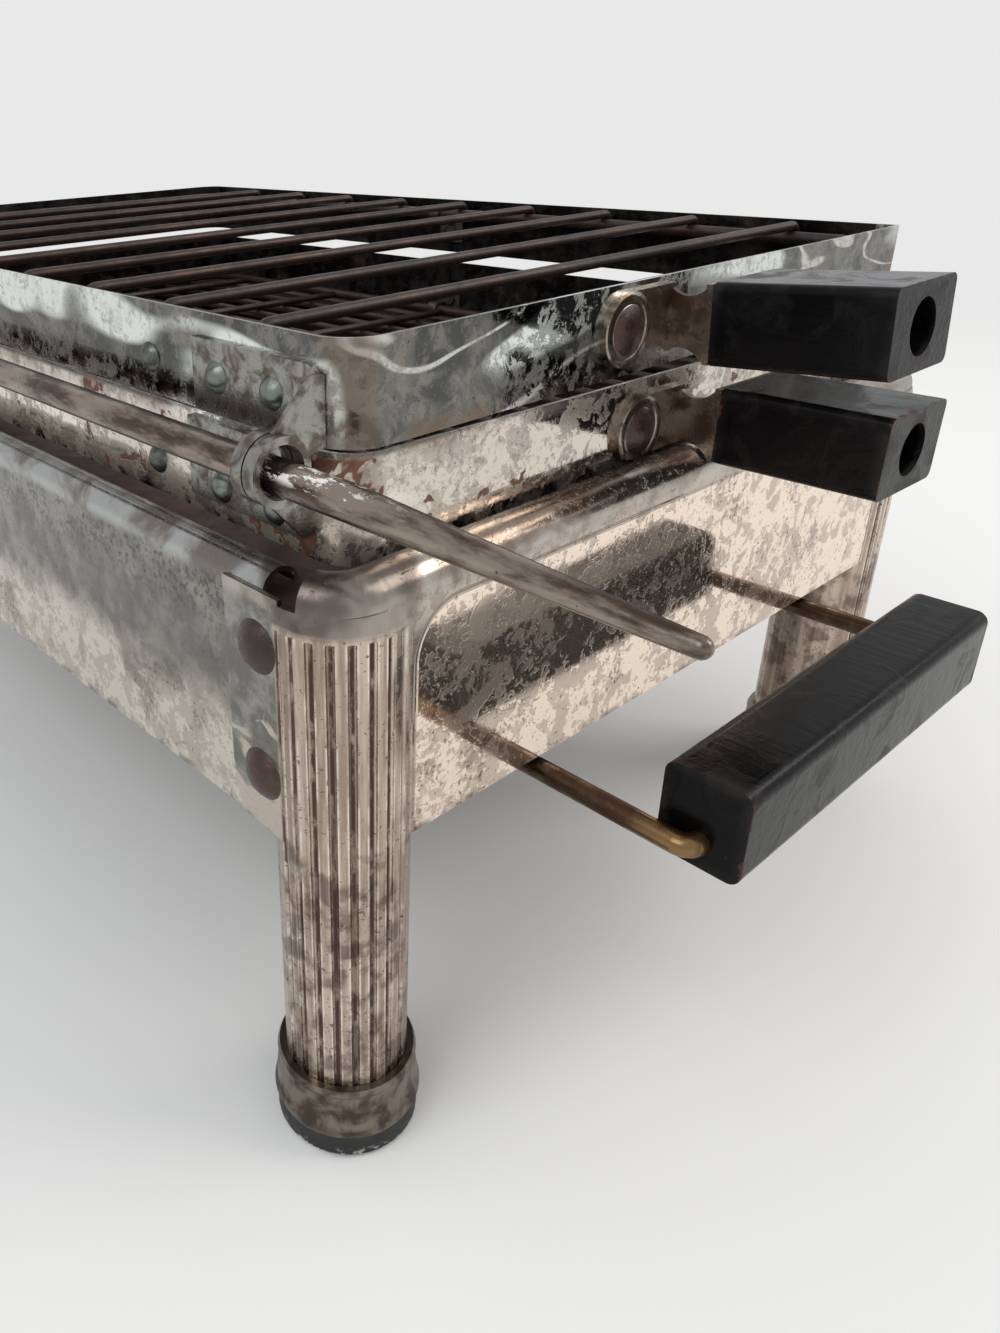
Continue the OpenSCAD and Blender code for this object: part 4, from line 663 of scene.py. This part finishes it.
def wound_heating_wire():
    """Helix along the heater's path of straight runs and half-circle ends.

    Point at length s: path(s) + r * (cos(2 pi s / lead) * side(s) + sin(2 pi s / lead) * up).
    """
    low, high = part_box("heating_wire")
    runs = 6
    wire_r = 0.42 * MM
    lead = 2.1 * MM
    points_per_turn, wire_sides = 12, 5
    into_post = 0.01 * MM
    inside, sway, sway_length = 0.97, 0.02, 31 * MM
    wound_r = (high[2] - low[2]) / 2
    pitch = (high[0] - low[0] - 2 * wound_r) / (runs - 1)
    start_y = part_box("terminal_posts")[1][1] - into_post
    end_y = high[1] - wound_r - pitch / 2
    left = low[0] + wound_r
    z = (low[2] + high[2]) / 2
    run, arc = end_y - start_y, math.pi * pitch / 2
    total = runs * run + (runs - 1) * arc
    count = int(total / lead * points_per_turn)
    s = np.linspace(0, total, count)
    index = np.minimum((s // (run + arc)).astype(int), runs - 1)
    local = s - index * (run + arc)
    up_way = index % 2 == 0
    on_arc = local > run
    theta = np.clip((local - run) / arc, 0, 1) * math.pi
    travelled = np.minimum(local, run)
    straight_y = np.where(up_way, start_y + travelled, end_y - travelled)
    sign = np.where(up_way, 1.0, -1.0)
    x = left + index * pitch + np.where(on_arc, (1 - np.cos(theta)) * pitch / 2, 0.0)
    y = np.where(on_arc, np.where(up_way, end_y, start_y) + sign * np.sin(theta) * pitch / 2, straight_y)
    path = np.stack([x, y, np.full(count, z)], -1)
    # side points across the path, level: on an arc it turns with the angle
    side = np.stack([np.where(on_arc, -np.cos(theta), -1.0), np.where(on_arc, np.sin(theta) * sign, 0.0),
                     np.zeros(count)], -1)
    up = np.tile(np.array([0.0, 0.0, 1.0]), (count, 1))
    turn = 2 * math.pi * s / lead
    # the turns stay inside the CAD piece and vary a little in width along the wire
    r = (wound_r - wire_r) * inside * (1 + sway * np.sin(s / sway_length))
    helix = path + r[:, None] * (np.cos(turn)[:, None] * side + np.sin(turn)[:, None] * up)
    along = np.gradient(helix, axis=0)
    along /= np.linalg.norm(along, axis=1)[:, None]
    outward = helix - path
    outward /= np.linalg.norm(outward, axis=1)[:, None]
    across = np.cross(outward, along)
    points, faces = tube(helix, across, outward, wire_r, wire_sides)
    made = new_piece("wound_heating_wire", points, faces, "heating_wire", "base")
    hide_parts("heating_wire")


wound_heating_wire()


# Floor, light and camera


FAR_TONE = paint(232, 233, 232)
LIGHT_OFF = paint(0, 0, 0)


def floor():
    """Plain pale floor just under the feet that takes the sky's tone far off."""
    reach = 6.0
    fade_from, fade_to = 0.30, 0.95
    mesh = bpy.data.meshes.new("pale_floor")
    corners = [(-reach, -reach, 0.0), (reach, -reach, 0.0), (reach, reach, 0.0), (-reach, reach, 0.0)]
    mesh.from_pydata(corners, [], [(0, 1, 2, 3)])
    pale = Finish("pale floor")
    x, y, _ = pale.xyz()
    far = (x * x + y * y).root().rise(fade_from, fade_to)
    pale.set(Base_Color=pale.mix(paint(243, 243, 241), LIGHT_OFF, far), Metallic=0.0, Roughness=0.85)
    pale.set(Emission_Color=pale.mix(LIGHT_OFF, FAR_TONE, far), Emission_Strength=1.0)
    pale.set(Specular_IOR_Level=0.0)
    mesh.materials.append(pale.material)
    made = bpy.data.objects.new("pale_floor", mesh)
    bpy.context.scene.collection.objects.link(made)


def sky():
    """Pale world: soft light, with the floor's own tone to the eye."""
    world = bpy.data.worlds.new("pale room")
    bpy.context.scene.world = world
    world.use_nodes = True
    room = Tree(world.node_tree)
    soft = room.node("Background", {}, {"Color": paint(243, 244, 246), "Strength": 0.80})
    seen = room.node("Background", {}, {"Color": FAR_TONE, "Strength": 1.0})
    camera_ray = room.node("LightPath", {}, {}, "Is Camera Ray")
    through = room.node("LightPath", {}, {}, "Is Transmission Ray")
    mixed = room.node("MixShader", {}, {0: camera_ray.top(through), 1: soft, 2: seen})
    room.node("OutputWorld", {}, {"Surface": mixed})


def lamp(name, place, aim, size, watts, colour):
    """Square area lamp at place, turned to aim."""
    light = bpy.data.lights.new(name, "AREA")
    light.size = size
    light.energy = watts
    light.color = colour
    made = bpy.data.objects.new(name, light)
    bpy.context.scene.collection.objects.link(made)
    made.location = place
    made.rotation_mode = "QUATERNION"
    made.rotation_quaternion = (Vector(aim) - Vector(place)).to_track_quat("-Z", "Y")


def camera():
    """Camera solved from the photograph's straight edges: its place, its axes and its off-centre picture."""
    place = Vector((-173.8, -214.5, 171.0)) * MM
    right = Vector((0.77248, -0.63421, -0.03235))
    down = Vector((-0.29151, -0.30889, -0.90532))
    ahead = Vector((0.56418, 0.70877, -0.42349))
    photo_w, photo_h = 1000, 1333
    focal_px = 1027.4
    centre_px = (292.6, 586.0)
    data = bpy.data.cameras.new("photo camera")
    data.sensor_width = 36.0  # spans the picture's longer side, its height
    data.lens = focal_px / photo_h * data.sensor_width
    data.shift_x = (photo_w / 2 - centre_px[0]) / photo_h
    data.shift_y = -(photo_h / 2 - centre_px[1]) / photo_h
    data.clip_start = 0.01
    made = bpy.data.objects.new("photo camera", data)
    bpy.context.scene.collection.objects.link(made)
    turn = Matrix((right, -down, -ahead)).transposed()
    made.matrix_world = Matrix.Translation(place) @ turn.to_4x4()
    bpy.context.scene.camera = made


floor()
sky()
lamp("warm_window", place=(1.0, -0.9, 1.1), aim=(0.0, -0.05, 0.06), size=0.8, watts=8.5,
     colour=(1.0, 0.94, 0.87))
lamp("cool_window", place=(-1.1, -0.1, 1.2), aim=(0.0, 0.0, 0.08), size=0.9, watts=6.0,
     colour=(0.92, 0.96, 1.0))
camera()

bpy.context.scene.view_settings.view_transform = "Standard"
